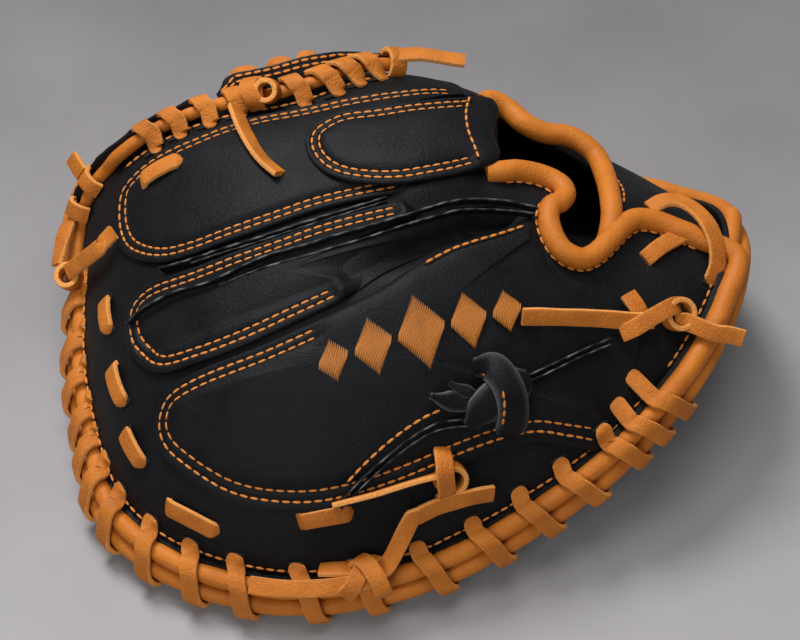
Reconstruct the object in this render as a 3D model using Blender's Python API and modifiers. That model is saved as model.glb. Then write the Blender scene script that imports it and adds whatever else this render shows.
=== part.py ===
# A catcher's mitt lying palm down, in metres
# Fingertips point to -X, the heel to +X, the thumb side to +Y, and it stands on z = 0.

import math

import bmesh
import bpy
from mathutils import Vector

# Sizes of the whole mitt
MITT_LENGTH = 0.280
MITT_WIDTH = 0.230
MITT_HEIGHT = 0.108
HEEL_DROP = 0.024
POCKET_HEIGHT = 0.058

# Leathers
SHELL_WALL = 0.003
PAD_EDGE = 0.010
PAD_THICKNESS = 0.022
PAD_PRESS = 0.0042
PANEL_EDGE = 0.002
PANEL_CROWN = 0.0025
WELT_WIDTH = 0.003
WELT_HEIGHT = 0.0026
STRAP_WIDTH = 0.014
STRAP_THICKNESS = 0.0028

# Rolls and laces
ROLL_DIAMETER = 0.0078
ROLL_LEAN = math.radians(20)
WRIST_ROLL_DIAMETER = 0.009
LACE_WIDTH = 0.007
LACE_THICKNESS = 0.0022
LACE_SLANT = 0.0045
LACE_RISE = 0.008

# Clearances
FIT_GAP = 0.0004
PANEL_GAP = 0.0008
LACE_SLACK = 0.0005
PAD_SEAT = 0.0014
FLOOR_CLEAR = 0.0024
WELD = 0.000001

# How finely the top edge's roll is walked when a place along it is looked up
CREST_STEP = 0.002

# The shell, the palm pad and the rim's rolls share these directions, so that their facets agree
SECTORS = 48
SECTOR_DEGREES = 360.0 / SECTORS

# The pattern's points are hundredths of the mitt's length, drawn for this length over its width
# CENTRE: where the directions round the back start; ORIGIN: the middle of the whole mitt's box
PATTERN_ASPECT = 1.217
CENTRE = (-1.8, 8.9)
ORIGIN = (-3.4, 1.6)
HEEL_DROP_END = 46.4

# Sixteen directions, each 22.5 degrees on from the heel by way of the thumb side
# reach: the rolls' centre line from the centre, in hundredths of the mitt's length
# rim: the rim's height, in hundredths of the way from the lowest rim to the crown
# sharpness and fullness: the powers that shape the back between the crown and the rim
REACH, RIM, SHARPNESS, FULLNESS = range(4)
RIM_ROWS = (
    (49.6, 60.0, 2.4, 0.62),
    (47.1, 22.1, 2.3, 0.57),
    (39.8, 1.0, 2.9, 0.50),
    (36.1, 0.0, 3.6, 0.48),
    (35.5, 0.0, 4.2, 0.48),
    (38.3, 0.0, 4.2, 0.48),
    (45.4, 6.3, 3.2, 0.52),
    (52.1, 30.5, 2.4, 0.56),
    (49.8, 16.8, 2.3, 0.58),
    (51.8, 7.4, 2.2, 0.60),
    (55.5, 2.1, 2.0, 0.62),
    (52.7, 0.0, 1.9, 0.64),
    (47.1, 2.1, 1.9, 0.64),
    (43.6, 11.6, 1.9, 0.64),
    (44.6, 29.5, 2.0, 0.63),
    (47.5, 49.5, 2.2, 0.62),
)

# Sections of the palm pad, from the pocket's middle out to the rim
# share: place between the centre and the rim; rim: share of the rim's height over the pad's edge
# pocket: share of the pocket's height; press: share of the pad's press; thick: share of its thickness
PAD_ROWS = (
    (0.00, 0.00, 1.00, 0.0, 0.50),
    (0.18, 0.15, 0.97, 0.2, 0.50),
    (0.36, 0.30, 0.78, 0.6, 0.54),
    (0.52, 0.45, 0.42, 1.0, 0.68),
    (0.66, 0.60, 0.12, 1.0, 0.91),
    (0.76, 0.70, 0.00, 1.0, 1.00),
    (0.90, 0.80, 0.00, 1.0, 0.80),
    (0.96, 0.92, 0.00, 0.4, 0.52),
)

# Where the upper roll climbs from the rim to the top edge: degrees, and hundredths of the way
# from the crown down to the rim
CORNER = ((167.6, 93.5), (166.2, 89), (164.8, 84.5), (163.4, 79.5), (162.2, 73.5))

# The line of the roll on the top edge, from that corner to the web's knot
CREST = (
    (-43.4, 22.4), (-40.0, 23.4), (-36.4, 24.5), (-30.7, 25.8), (-25.3, 26.3),
    (-19.7, 26.4), (-14.3, 27.7), (-9.5, 30.3), (-6.2, 32.2), (-2.5, 33.6),
)

# The lips of the hand hole: the near one runs on to the heel, the far one ends against it
NEAR_LIP = (
    (12.9, 11.0), (15.4, 11.8), (18.9, 11.8), (21.1, 10.7), (21.8, 9.0),
    (21.0, 7.3), (19.6, 6.1), (19.3, 3.6), (20.0, 1.1), (21.4, -0.6),
    (23.9, -1.0), (26.1, 0.4), (28.2, 2.9),
)
NEAR_LIP_TO_HEEL = ((30.5, 5.9), (32.5, 7.6), (35.7, 7.9), (38.6, 7.1), (42.0, 6.1))
FAR_LIP = (
    (12.9, 26.0), (14.6, 25.2), (16.8, 24.1), (18.9, 22.7), (21.4, 22.3),
    (25.0, 20.9), (27.9, 18.6), (29.0, 15.0), (28.9, 11.6),
)
HEEL_ROLL_DEGREES = (-6, -13, -20, -28)

# Outlines of the pads on the back, each with the point that it is filled from
UPPER_PANEL = (
    (-43.9, 13.6), (-43.4, 16.6), (-41.0, 18.5), (-37.0, 19.8), (-31.5, 20.7),
    (-24.3, 22.1), (-16.5, 23.1), (-9.8, 24.4), (-2.0, 26.2), (6.0, 28.3), (11.9, 29.2),
    (12.1, 21.4), (12.0, 12.9), (8.9, 10.0), (3.9, 8.2), (-1.8, 6.4),
    (-11.8, 4.3), (-20.4, 1.8), (-30.4, 0.0), (-36.4, 0.7), (-41.2, 4.6), (-43.4, 9.3),
)
UPPER_CENTRE = (-16.0, 14.0)
MIDDLE_PANEL = (
    (-41.1, -6.1), (-40.2, -3.4), (-37.1, -2.4), (-30.4, -3.0), (-20.4, -1.6),
    (-11.8, 1.0), (-1.8, 3.2), (8.0, 5.6), (15.7, 4.6), (10.0, 1.4),
    (0.0, -4.6), (-10.7, -10.4), (-22.5, -13.9), (-29.6, -15.4), (-35.7, -14.6), (-40.0, -10.2),
)
MIDDLE_CENTRE = (-18.0, -6.4)
LOWER_PANEL = (
    (-36.2, -22.6), (-35.6, -19.9), (-33.0, -18.2), (-22.5, -16.6), (-10.7, -13.0),
    (0.0, -7.2), (10.7, -1.2), (16.2, 1.0), (17.4, -2.2), (20.2, -4.6),
    (24.2, -4.8), (28.0, -5.6), (29.4, -8.6), (28.4, -12.4), (25.4, -16.8),
    (21.4, -20.6), (17.4, -22.4), (12.2, -23.6), (6.5, -25.4), (1.0, -27.6),
    (-4.6, -30.3), (-10.1, -32.5), (-15.6, -33.2), (-21.2, -32.8), (-25.5, -31.8),
    (-29.4, -30.0), (-33.0, -27.4), (-35.2, -25.2),
)
LOWER_CENTRE = (-5.4, -17.9)
INDEX_PAD = (
    (-15.4, 16.4), (-14.3, 19.6), (-10.0, 21.8), (-3.6, 23.6), (3.6, 25.0),
    (10.0, 26.6), (11.6, 26.4), (11.8, 21.4), (11.6, 15.4), (9.6, 13.0),
    (3.9, 10.7), (-3.6, 9.3), (-8.6, 9.6), (-12.9, 11.4), (-15.0, 13.9),
)
INDEX_CENTRE = (-1.0, 17.2)

# The web's leather on the far wall: degrees, and hundredths of the way from the crown down to the rim
WEB_PANEL = (
    (74, 66), (92, 70), (110, 62), (128, 60), (139, 70), (143, 80), (143, 89),
    (130, 91), (110, 91), (92, 91), (74, 91), (70, 79),
)
WEB_CENTRE = (107, 78)

# Raw leather edges between the finger panels
UPPER_WELT = ((-34.6, -1.2), (-28.0, -1.4), (-20.4, 0.2), (-11.6, 2.6), (-1.8, 4.9), (5.0, 6.9))
MIDDLE_WELT = ((-38.6, -7.9), (-32.0, -7.2), (-25.7, -6.6), (-11.4, -4.1), (0.0, -0.2), (9.0, 3.2))

# Where the laces cross the rim, in degrees, and the top edge, in hundredths along its roll
EDGE_LACE_DEGREES = (
    -178, -169.5, -162.5, -155.5, -150, -144, -138, -130.5, -123, -115.5,
    -105.5, -96.5, -85, -74, -63.5, -54, -44.5, -39, -33.5,
)
TOP_LACE_PLACES = (13, 23, 33, 44, 63, 72, 80, 88)
CREST_KNOT_PLACE = 53

# Each short lace through the back runs from one point to the other
RUNNING_LACES = (
    ((-44.9, 0.7), (-44.1, -5.0)),
    ((-43.3, -10.4), (-41.1, -16.8)),
    ((-40.9, -20.1), (-38.2, -25.3)),
    ((-34.6, -30.4), (-27.4, -34.3)),
    ((-15.8, -36.0), (-8.6, -35.2)),
)
PANEL_LACE = ((-38.8, 14.9), (-33.2, 16.0))

LEATHER = ("black_leather", (0.012, 0.012, 0.014), 0.5)
TAN_ROLL = ("tan_roll", (0.55, 0.22, 0.05), 0.5)
TAN_LACE = ("tan_lace", (0.58, 0.24, 0.06), 0.65)


def clear_scene():
    for thing in list(bpy.data.objects):
        bpy.data.objects.remove(thing)


def new_collection(name):
    made = bpy.data.collections.new(name)
    bpy.context.scene.collection.children.link(made)
    return made


def material(finish):
    name, colour, roughness = finish
    made = bpy.data.materials.get(name)
    if made:
        return made
    made = bpy.data.materials.new(name)
    made.use_nodes = True
    shader = made.node_tree.nodes["Principled BSDF"]
    shader.inputs["Base Color"].default_value = (*colour, 1.0)
    shader.inputs["Roughness"].default_value = roughness
    shader.inputs["Metallic"].default_value = 0.0
    return made


def add_object(name, data, finish, collection):
    made = bpy.data.objects.new(name, data)
    data.materials.append(material(finish))
    collection.objects.link(made)
    return made


def add_mesh(name, mesh, finish, collection):
    data = bpy.data.meshes.new(name)
    mesh.to_mesh(data)
    mesh.free()
    data.shade_smooth()
    data.set_sharp_from_angle(angle=math.radians(40))
    return add_object(name, data, finish, collection)


# The back's surface

def lowest_rim():
    """The rim's lowest height: the lower roll and the lace under it stay clear of the floor."""
    roll_stack = 0.5 * (ROLL_DIAMETER + FIT_GAP) * math.cos(ROLL_LEAN) + 0.5 * ROLL_DIAMETER
    return roll_stack + FIT_GAP + LACE_THICKNESS + FLOOR_CLEAR


def step(u, v):
    """A step across the pattern, in metres."""
    return Vector((0.01 * u * MITT_LENGTH, 0.01 * v * MITT_WIDTH * PATTERN_ASPECT, 0.0))


def on_floor(u, v):
    """A point of the pattern on the floor."""
    return step(u - ORIGIN[0], v - ORIGIN[1])


def pattern_point(spot):
    """The pattern's u and v of a place in the mitt's frame."""
    unit = step(1.0, 1.0)
    return spot.x / unit.x + ORIGIN[0], spot.y / unit.y + ORIGIN[1]


def ring_value(column, angle):
    """A column of the rim's table at any angle, on a smooth closed curve through its rows."""
    place = (angle / math.tau) % 1.0 * len(RIM_ROWS)
    row = int(place)
    t = place - row
    a, b, c, d = (RIM_ROWS[(row + k) % len(RIM_ROWS)][column] for k in (-1, 0, 1, 2))
    return b + 0.5 * t * (c - a + t * (2 * a - 5 * b + 4 * c - d + t * (3 * (b - c) + d - a)))


def rim_ray(angle):
    """From the centre to the shell's edge, which lies inside the rolls' centre line."""
    reach = ring_value(REACH, angle)
    ray = step(reach * math.cos(angle), reach * math.sin(angle))
    return ray * (1.0 - (0.5 * ROLL_DIAMETER + FIT_GAP) / ray.length)


def rim_height(angle):
    low = lowest_rim()
    return low + 0.01 * ring_value(RIM, angle) * (MITT_HEIGHT - low)


def crown_height(x):
    """The crown is level over the fingers and drops smoothly towards the heel."""
    t = min(max((x - on_floor(0.0, 0.0).x) / step(HEEL_DROP_END, 0.0).x, 0.0), 1.0)
    return MITT_HEIGHT - HEEL_DROP * t * t * (3.0 - 2.0 * t)


def back(angle, share):
    """The back's outer surface at an angle, at a share of the way from the centre to the rim."""
    spot = on_floor(*CENTRE) + rim_ray(angle) * share
    edge = rim_height(angle)
    bulge = (1.0 - share ** ring_value(SHARPNESS, angle)) ** ring_value(FULLNESS, angle)
    return Vector((spot.x, spot.y, edge + (crown_height(spot.x) - edge) * bulge))


def back_normal(angle, share):
    part = 0.004
    share = max(share, 0.03)
    outward = back(angle, min(share + part, 1.0)) - back(angle, share - part)
    onward = back(angle + part, share) - back(angle - part, share)
    return outward.cross(onward).normalized()


def on_back(u, v, lift):
    """A pattern's point, lifted off the back."""
    ray = step(u - CENTRE[0], v - CENTRE[1])
    angle = math.atan2(v - CENTRE[1], u - CENTRE[0])
    share = min(ray.length / rim_ray(angle).length, 0.995)
    return back(angle, share) + back_normal(angle, share) * lift


def on_wall(degrees, down, lift):
    """A point by its direction and its hundredths of the way down to the rim."""
    angle = math.radians(degrees)
    share = math.sin(0.01 * down * 0.5 * math.pi)
    return back(angle, share) + back_normal(angle, share) * lift


def rim_frame(angle):
    """The shell's edge with the directions along the rim, level outward, and square to both."""
    part = 0.002
    along = (back(angle + part, 1.0) - back(angle - part, 1.0)).normalized()
    outward = Vector((along.y, -along.x, 0.0)).normalized()
    return back(angle, 1.0), along, outward, outward.cross(along)


def rim_point(degrees, out, up):
    edge, along, outward, upward = rim_frame(math.radians(degrees))
    return edge + outward * out + upward * up


def wall_share(angle, rise):
    """The share of the way to the rim at which the back stands this high over the rim."""
    edge = back(angle, 1.0)
    bulge = min(rise / (crown_height(edge.x) - edge.z), 0.999)
    return (1.0 - bulge ** (1.0 / ring_value(FULLNESS, angle))) ** (1.0 / ring_value(SHARPNESS, angle))


# Places of the rolls, measured from the shell's edge

def upper_roll_place():
    return 0.5 * ROLL_DIAMETER + FIT_GAP, 0.5 * (ROLL_DIAMETER + FIT_GAP) * math.cos(ROLL_LEAN)


def lower_roll_place():
    out, up = upper_roll_place()
    return out + (ROLL_DIAMETER + FIT_GAP) * math.sin(ROLL_LEAN), -up


def heel_roll_place():
    """The thick roll rests on the lower one."""
    out = 0.5 * WRIST_ROLL_DIAMETER + FIT_GAP
    below_out, below_up = lower_roll_place()
    reach = 0.5 * (WRIST_ROLL_DIAMETER + ROLL_DIAMETER) + FIT_GAP
    return out, below_up + math.sqrt(reach ** 2 - (below_out - out) ** 2)


# Builders

def curve_point(points, i, t, closed=False):
    """A point on the smooth curve through the given ones, at share t of the way from i to the next."""
    count = len(points)
    if closed:
        a, b, c, d = (points[(i + k) % count] for k in (-1, 0, 1, 2))
    else:
        a, b, c, d = (points[min(max(i + k, 0), count - 1)] for k in (-1, 0, 1, 2))
    return b + (c - a + (2 * a - 5 * b + 4 * c - d + (3 * (b - c) + d - a) * t) * t) * (0.5 * t)


def even_places(points, spacing, closed=False):
    """Places (i, t) on the smooth curve, evenly spaced along it."""
    spans = len(points) if closed else len(points) - 1
    fine = [(i, k / 16) for i in range(spans) for k in range(16)] + [(spans - 1, 1.0)]
    spots = [curve_point(points, i, t, closed) for i, t in fine]
    lengths = [0.0]
    for before, after in zip(spots, spots[1:]):
        lengths.append(lengths[-1] + (after - before).length)
    steps = max(round(lengths[-1] / spacing), 2)
    places = []
    k = 0
    for step in range(steps if closed else steps + 1):
        goal = lengths[-1] * step / steps
        while k < len(fine) - 2 and lengths[k + 1] < goal:
            k += 1
        part = min((goal - lengths[k]) / max(lengths[k + 1] - lengths[k], WELD), 1.0)
        i, t = fine[k]
        places.append((i, t + part / 16))
    return places


def smooth_path(points, spacing, closed=False):
    return [curve_point(points, i, t, closed) for i, t in even_places(points, spacing, closed)]


def grid(across, along, place):
    """A grid mesh whose point (column, row) lies at place(column, row), with its doubles welded."""
    mesh = bmesh.new()
    bmesh.ops.create_grid(mesh, x_segments=across, y_segments=along, size=0.5)
    for vert in mesh.verts:
        column = round((vert.co.x + 0.5) * across)
        row = round((vert.co.y + 0.5) * along)
        vert.co = place(column, row)
    bmesh.ops.remove_doubles(mesh, verts=mesh.verts, dist=WELD)
    bmesh.ops.dissolve_degenerate(mesh, edges=mesh.edges, dist=WELD)
    bmesh.ops.recalc_face_normals(mesh, faces=mesh.faces)
    return mesh


def pad(name, outline, centre, place, base, edge, crown, sectors, collection, finish=LEATHER):
    """A sewn pad: its outline is filled in rings from its centre, and it swells towards its middle."""
    corners = smooth_path([Vector((u, v, 0.0)) for u, v in outline], 0.5, closed=True)
    shares = [0.0, 0.27, 0.52, 0.74, 0.91, 1.0]
    rows = [(share, True) for share in shares] + [(share, False) for share in reversed(shares)]

    def point(column, row):
        share, upper = rows[row]
        corner = corners[(column * len(corners)) // sectors % len(corners)]
        u = centre[0] + (corner.x - centre[0]) * share
        v = centre[1] + (corner.y - centre[1]) * share
        swell = edge + crown * (1.0 - share ** 3) if upper else 0.0
        return place(u, v, base + swell)

    return add_mesh(name, grid(sectors, len(rows) - 1, point), finish, collection)


def ribbon(name, points, ups, width, thickness, finish, collection):
    """A flat strip along a path: each section has its wide side across the path and square to up."""
    corners = ((-0.5, -0.5), (0.5, -0.5), (0.5, 0.5), (-0.5, 0.5))
    sections = []
    for i, point in enumerate(points):
        ahead = points[min(i + 1, len(points) - 1)] - points[max(i - 1, 0)]
        side = ahead.cross(ups[i]).normalized()
        up = side.cross(ahead).normalized()
        sections.append([point + side * (a * width) + up * (b * thickness) for a, b in corners])

    def place(column, row):
        return sections[row][column % 4]

    mesh = grid(4, len(points) - 1, place)
    bmesh.ops.holes_fill(mesh, edges=mesh.edges)
    bmesh.ops.recalc_face_normals(mesh, faces=mesh.faces)
    return add_mesh(name, mesh, finish, collection)


def lay(name, rows, collection, width=LACE_WIDTH, thickness=LACE_THICKNESS, finish=TAN_LACE):
    """A strip through rows of a point and the direction that its face looks in."""
    points = [point for point, face in rows]
    faces = [face for point, face in rows]
    places = even_places(points, LACE_WIDTH)
    path = [curve_point(points, i, t) for i, t in places]
    ups = [curve_point(faces, i, t) for i, t in places]
    return ribbon(name, path, ups, width, thickness, finish, collection)


def back_row(u, v, lift):
    """A row for lay: a pattern point at a lift off the back."""
    point = on_back(u, v, lift)
    return point, (point - on_back(u, v, lift - 1.0)).normalized()


def back_rows(*spots):
    """Rows for lay along a smooth line over the back, through pattern points with their lifts."""
    scale = 0.01 * MITT_LENGTH
    line = smooth_path([Vector((u, v, lift / scale)) for u, v, lift in spots], LACE_WIDTH / scale)
    return [back_row(p.x, p.y, p.z * scale) for p in line]


def rim_row(degrees, place, turn, around):
    """A row for lay: a point round one of the rim's rolls, turned from level outward."""
    edge, along, outward, upward = rim_frame(math.radians(degrees))
    away = outward * math.cos(math.radians(turn)) + upward * math.sin(math.radians(turn))
    return edge + outward * place[0] + upward * place[1] + away * around, away


def roll(name, points, diameter, collection, closed=False):
    """A round leather roll along evenly spaced points."""
    data = bpy.data.curves.new(name, "CURVE")
    data.dimensions = "3D"
    data.bevel_depth = 0.5 * diameter
    data.bevel_resolution = 2
    data.use_fill_caps = not closed
    spline = data.splines.new("POLY")
    spline.points.add(len(points) - 1)
    for knot, point in zip(spline.points, points):
        knot.co = (*point, 1.0)
    spline.use_cyclic_u = closed
    spline.use_smooth = True
    return add_object(name, data, TAN_ROLL, collection)


# Pieces

def make_back_shell(collection, cutters):
    rings = 10

    def place(column, row):
        share = math.sin(row / rings * 0.5 * math.pi)
        return back(math.radians(column % SECTORS * SECTOR_DEGREES), share)

    mesh = grid(SECTORS, rings, place)
    if sum(face.normal.z for face in mesh.faces) < 0.0:
        bmesh.ops.reverse_faces(mesh, faces=mesh.faces)
    shell = add_mesh("back_shell", mesh, LEATHER, collection)
    wall = shell.modifiers.new("wall", "SOLIDIFY")
    wall.thickness = SHELL_WALL
    wall.offset = -1.0
    outline = [on_floor(u, v) for u, v in NEAR_LIP + FAR_LIP[-2::-1]]
    corners = smooth_path(outline, LACE_WIDTH, closed=True)
    hole = bmesh.new()
    floor = hole.faces.new([hole.verts.new((p.x, p.y, 0.5 * MITT_HEIGHT)) for p in corners])
    lid = bmesh.ops.extrude_face_region(hole, geom=[floor])["geom"]
    risen = [item for item in lid if isinstance(item, bmesh.types.BMVert)]
    bmesh.ops.translate(hole, verts=risen, vec=(0.0, 0.0, MITT_HEIGHT))
    bmesh.ops.recalc_face_normals(hole, faces=hole.faces)
    cutter = add_mesh("hand_hole", hole, LEATHER, cutters)
    cutter.hide_render = True
    cutter.display_type = "WIRE"
    cut = shell.modifiers.new("hand_hole", "BOOLEAN")
    cut.object = cutter
    cut.operation = "DIFFERENCE"


def make_palm_pad(collection):
    """The pad meets the shell's edge from below, lies flat on the floor and rises to the pocket."""
    top_rows = [(row, True) for row in PAD_ROWS]
    bottom_rows = [(row, False) for row in reversed(PAD_ROWS)]
    rows = top_rows + [("edge", True), ("edge", False)] + bottom_rows

    def place(column, row):
        section, upper = rows[row]
        angle = math.radians(column % SECTORS * SECTOR_DEGREES)
        edge = back(angle, 1.0)
        if section == "edge":
            return Vector((edge.x, edge.y, edge.z - (PAD_SEAT if upper else PAD_EDGE)))
        share, rim, pocket, press, thick = section
        spot = on_floor(*CENTRE) + rim_ray(angle) * share
        sole = rim * (edge.z - PAD_EDGE) + pocket * POCKET_HEIGHT - press * PAD_PRESS
        sole = max(sole, 0.0)
        return Vector((spot.x, spot.y, sole + (thick * PAD_THICKNESS if upper else 0.0)))

    add_mesh("palm_pad", grid(SECTORS, len(rows) - 1, place), LEATHER, collection)


def panel_top():
    return PANEL_GAP + PANEL_EDGE + PANEL_CROWN


def make_pads(collection):
    sizes = (PANEL_GAP, PANEL_EDGE, PANEL_CROWN)
    pad("finger_panel_upper", UPPER_PANEL, UPPER_CENTRE, on_back, *sizes, 34, collection)
    pad("finger_panel_middle", MIDDLE_PANEL, MIDDLE_CENTRE, on_back, *sizes, 30, collection)
    pad("finger_panel_lower", LOWER_PANEL, LOWER_CENTRE, on_back, *sizes, 36, collection)
    pad("web_panel", WEB_PANEL, WEB_CENTRE, on_wall, *sizes, 24, collection)
    base = panel_top() + FIT_GAP
    pad("index_pad", INDEX_PAD, INDEX_CENTRE, on_back, base, PANEL_EDGE, PANEL_CROWN, 24, collection)


def make_welts(collection):
    lie = PANEL_GAP + 0.5 * WELT_HEIGHT
    upper = back_rows(*[(u, v, lie) for u, v in UPPER_WELT])
    middle = back_rows(*[(u, v, panel_top() + lie) for u, v in MIDDLE_WELT])
    for name, rows in (("seam_welt_upper", upper), ("seam_welt_middle", middle)):
        lay(name, rows, collection, WELT_WIDTH, WELT_HEIGHT, LEATHER)


def crest_line():
    lift = 0.5 * ROLL_DIAMETER + FIT_GAP
    return [on_back(u, v, lift) for u, v in CREST]


def corner_line():
    lift = 0.5 * ROLL_DIAMETER + FIT_GAP
    return [on_wall(degrees, down, lift) for degrees, down in CORNER]


def corner_row(row, turn, around):
    """A row for lay: a point round the roll at a row of CORNER, turned from the back to the outside."""
    line = corner_line()
    off = (on_wall(*CORNER[row], 1.0) - on_wall(*CORNER[row], 0.0)).normalized()
    near = (line[row + 1] - line[row - 1]).cross(off).normalized()
    away = near * math.cos(math.radians(turn)) + off * math.sin(math.radians(turn))
    return line[row] + away * around, away


def make_rolls(collection):
    out, up = upper_roll_place()
    spacing = 1.7 * ROLL_DIAMETER
    near_rim = [rim_point(-SECTOR_DEGREES * k, out, up) for k in range(4, 26)]
    line = near_rim + corner_line() + crest_line()
    roll("back_roll", smooth_path(line, spacing), ROLL_DIAMETER, collection)
    far_rim = [rim_point(SECTOR_DEGREES * k, out, up) for k in range(1, 21)]
    roll("thumb_roll", far_rim, ROLL_DIAMETER, collection)
    out, up = lower_roll_place()
    whole_rim = [rim_point(SECTOR_DEGREES * k, out, up) for k in range(SECTORS)]
    roll("palm_roll", whole_rim, ROLL_DIAMETER, collection, closed=True)
    lift = 0.5 * WRIST_ROLL_DIAMETER + FIT_GAP
    near_lip = [on_back(u, v, lift) for u, v in NEAR_LIP + NEAR_LIP_TO_HEEL]
    out, up = heel_roll_place()
    heel = [rim_point(degrees, out, up) for degrees in HEEL_ROLL_DEGREES]
    spacing = 0.6 * WRIST_ROLL_DIAMETER
    roll("wrist_roll_near", smooth_path(near_lip + heel, spacing), WRIST_ROLL_DIAMETER, collection)
    far_lip = [on_back(u, v, lift) for u, v in FAR_LIP]
    roll("wrist_roll_far", smooth_path(far_lip, spacing), WRIST_ROLL_DIAMETER, collection)


def make_edge_laces(collection):
    """Each lace comes out of the back above the rolls and winds round both of them."""
    around = round_roll(ROLL_DIAMETER)
    upper, lower = upper_roll_place(), lower_roll_place()
    turns = [(upper, 82), (upper, 50), (upper, 20), (lower, 20), (lower, -25), (lower, -75), (lower, -120)]
    rise = upper[1] + 0.5 * ROLL_DIAMETER + LACE_RISE
    for number, degrees in enumerate(EDGE_LACE_DEGREES, 1):
        slant = math.degrees(LACE_SLANT / rim_ray(math.radians(degrees)).length)
        start = math.radians(degrees - slant)
        share = wall_share(start, rise)
        normal = back_normal(start, share)
        rows = [(back(start, share) + normal * (FIT_GAP + 0.5 * LACE_THICKNESS), normal)]
        for step, (place, turn) in enumerate(turns, 1):
            shifted = degrees + slant * (2.0 * step / len(turns) - 1.0)
            rows.append(rim_row(shifted, place, turn, around))
        points = [point for point, face in rows]
        faces = [face for point, face in rows]
        name = f"edge_lace_{number:02d}"
        ribbon(name, points, faces, LACE_WIDTH, LACE_THICKNESS, TAN_LACE, collection)


def round_roll(diameter):
    """How far a lace's middle lies from the middle of the roll that it winds round."""
    return 0.5 * diameter + FIT_GAP + LACE_SLACK + 0.5 * LACE_THICKNESS


def crest_frame(place):
    """A point of the top edge's roll, with the directions along it, off the back and to the near side."""
    line = smooth_path(crest_line(), CREST_STEP)
    index = min(max(round(0.01 * place * (len(line) - 1)), 1), len(line) - 2)
    along = (line[index + 1] - line[index - 1]).normalized()
    spot = line[index]
    u, v = pattern_point(spot)
    off = (on_back(u, v, 1.0) - on_back(u, v, 0.0)).normalized()
    near = along.cross(off).normalized()
    return spot, along, off, near


def crest_row(place, turn, around):
    """A row for lay: a point round the top edge's roll, turned from the near side towards its top."""
    spot, along, off, near = crest_frame(place)
    away = near * math.cos(math.radians(turn)) + off * math.sin(math.radians(turn))
    return spot + away * around, away


def make_top_laces(collection):
    """Short laces over the top edge's roll, from the back in front of it to the web behind it."""
    around = round_roll(ROLL_DIAMETER)
    for number, place in enumerate(TOP_LACE_PLACES, 1):
        spot, along, off, near = crest_frame(place)
        foot = spot + near * (around + 0.4 * LACE_RISE) - off * (around - LACE_THICKNESS - FIT_GAP)
        rows = [(foot, (near * 0.4 + off).normalized())]
        rows += [crest_row(place, turn, around) for turn in (10, 45, 80, 115, 150)]
        last = len(rows) - 1
        points = [row[0] + along * LACE_SLANT * (1.0 - 2.0 * i / last) for i, row in enumerate(rows)]
        faces = [face for point, face in rows]
        ribbon(f"top_lace_{number:02d}", points, faces, LACE_WIDTH, LACE_THICKNESS, TAN_LACE, collection)


def make_running_laces(collection):
    lie = FIT_GAP + 0.5 * LACE_THICKNESS
    routes = [(start, end, lie) for start, end in RUNNING_LACES]
    routes.append((*PANEL_LACE, panel_top() - 0.5 * PANEL_CROWN + lie))
    for number, (start, end, lift) in enumerate(routes, 1):
        lay(f"running_lace_{number:02d}", back_rows((*start, lift), (*end, lift)), collection)


def make_knots(collection):
    """The knots' laces: each route's points are chosen by eye, as a loose lace lies."""
    lie = FIT_GAP + 0.5 * LACE_THICKNESS
    cross = lie + LACE_THICKNESS + FIT_GAP
    arch = LACE_WIDTH
    lay("knot_near", back_rows(
        (-10.6, -32.6, cross), (-5.0, -31.6, cross), (0.4, -30.6, lie), (2.4, -29.9, 0.8 * arch),
        (4.2, -29.3, arch), (6.0, -28.6, 0.7 * arch), (7.2, -28.0, lie),
    ), collection)
    strap = panel_top() + FIT_GAP + 0.5 * STRAP_THICKNESS
    lay("strap_knot", back_rows(
        (2.6, -21.6, strap), (6.0, -20.4, strap), (8.6, -19.8, strap + 0.7 * arch),
        (11.6, -19.6, strap + arch), (14.4, -19.8, strap + 0.6 * arch), (16.6, -20.4, strap),
    ), collection, STRAP_WIDTH, STRAP_THICKNESS, LEATHER)
    make_heel_knots(collection, lie, arch)
    make_rim_knots(collection, lie, cross)
    make_crest_knots(collection, arch)


def make_heel_knots(collection, lie, arch):
    """The two laces that cross behind the hand hole, and the knot whose end hangs over the heel."""
    around = round_roll(WRIST_ROLL_DIAMETER)
    over_roll = around + 0.5 * WRIST_ROLL_DIAMETER + FIT_GAP
    lay("heel_lace_straight", back_rows((33.8, 0.9, lie), (35.8, 2.6, lie), (37.6, 4.1, lie)), collection)
    lay("heel_lace_arc", back_rows(
        (34.6, 11.6, lie), (37.2, 12.0, 2.0 * lie), (39.6, 10.6, 0.8 * over_roll), (41.0, 8.2, over_roll),
        (42.0, 5.9, over_roll), (42.6, 3.4, 0.8 * over_roll), (43.0, 1.4, lie), (43.1, -0.4, lie),
    ), collection)
    high = panel_lie()
    rows = back_rows(
        (15.7, -9.9, high), (20.7, -9.5, high), (25.4, -9.0, high), (29.4, -8.6, high),
        (32.0, -8.2, high + 0.5 * arch), (34.4, -7.6, high + 0.4 * arch), (36.8, -6.9, lie + 0.3 * arch),
        (38.8, -6.4, lie),
    )
    place = heel_roll_place()
    rows += [rim_row(-19.5, place, turn, around) for turn in (115, 90, 65, 40, 20)]
    rows.append(rim_row(-18, place, 5, 2.2 * around))
    lay("knot_heel", rows, collection)


def panel_lie():
    """The lift of a lace that lies on one of the padded panels."""
    return panel_top() + FIT_GAP + 0.5 * LACE_THICKNESS


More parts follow.
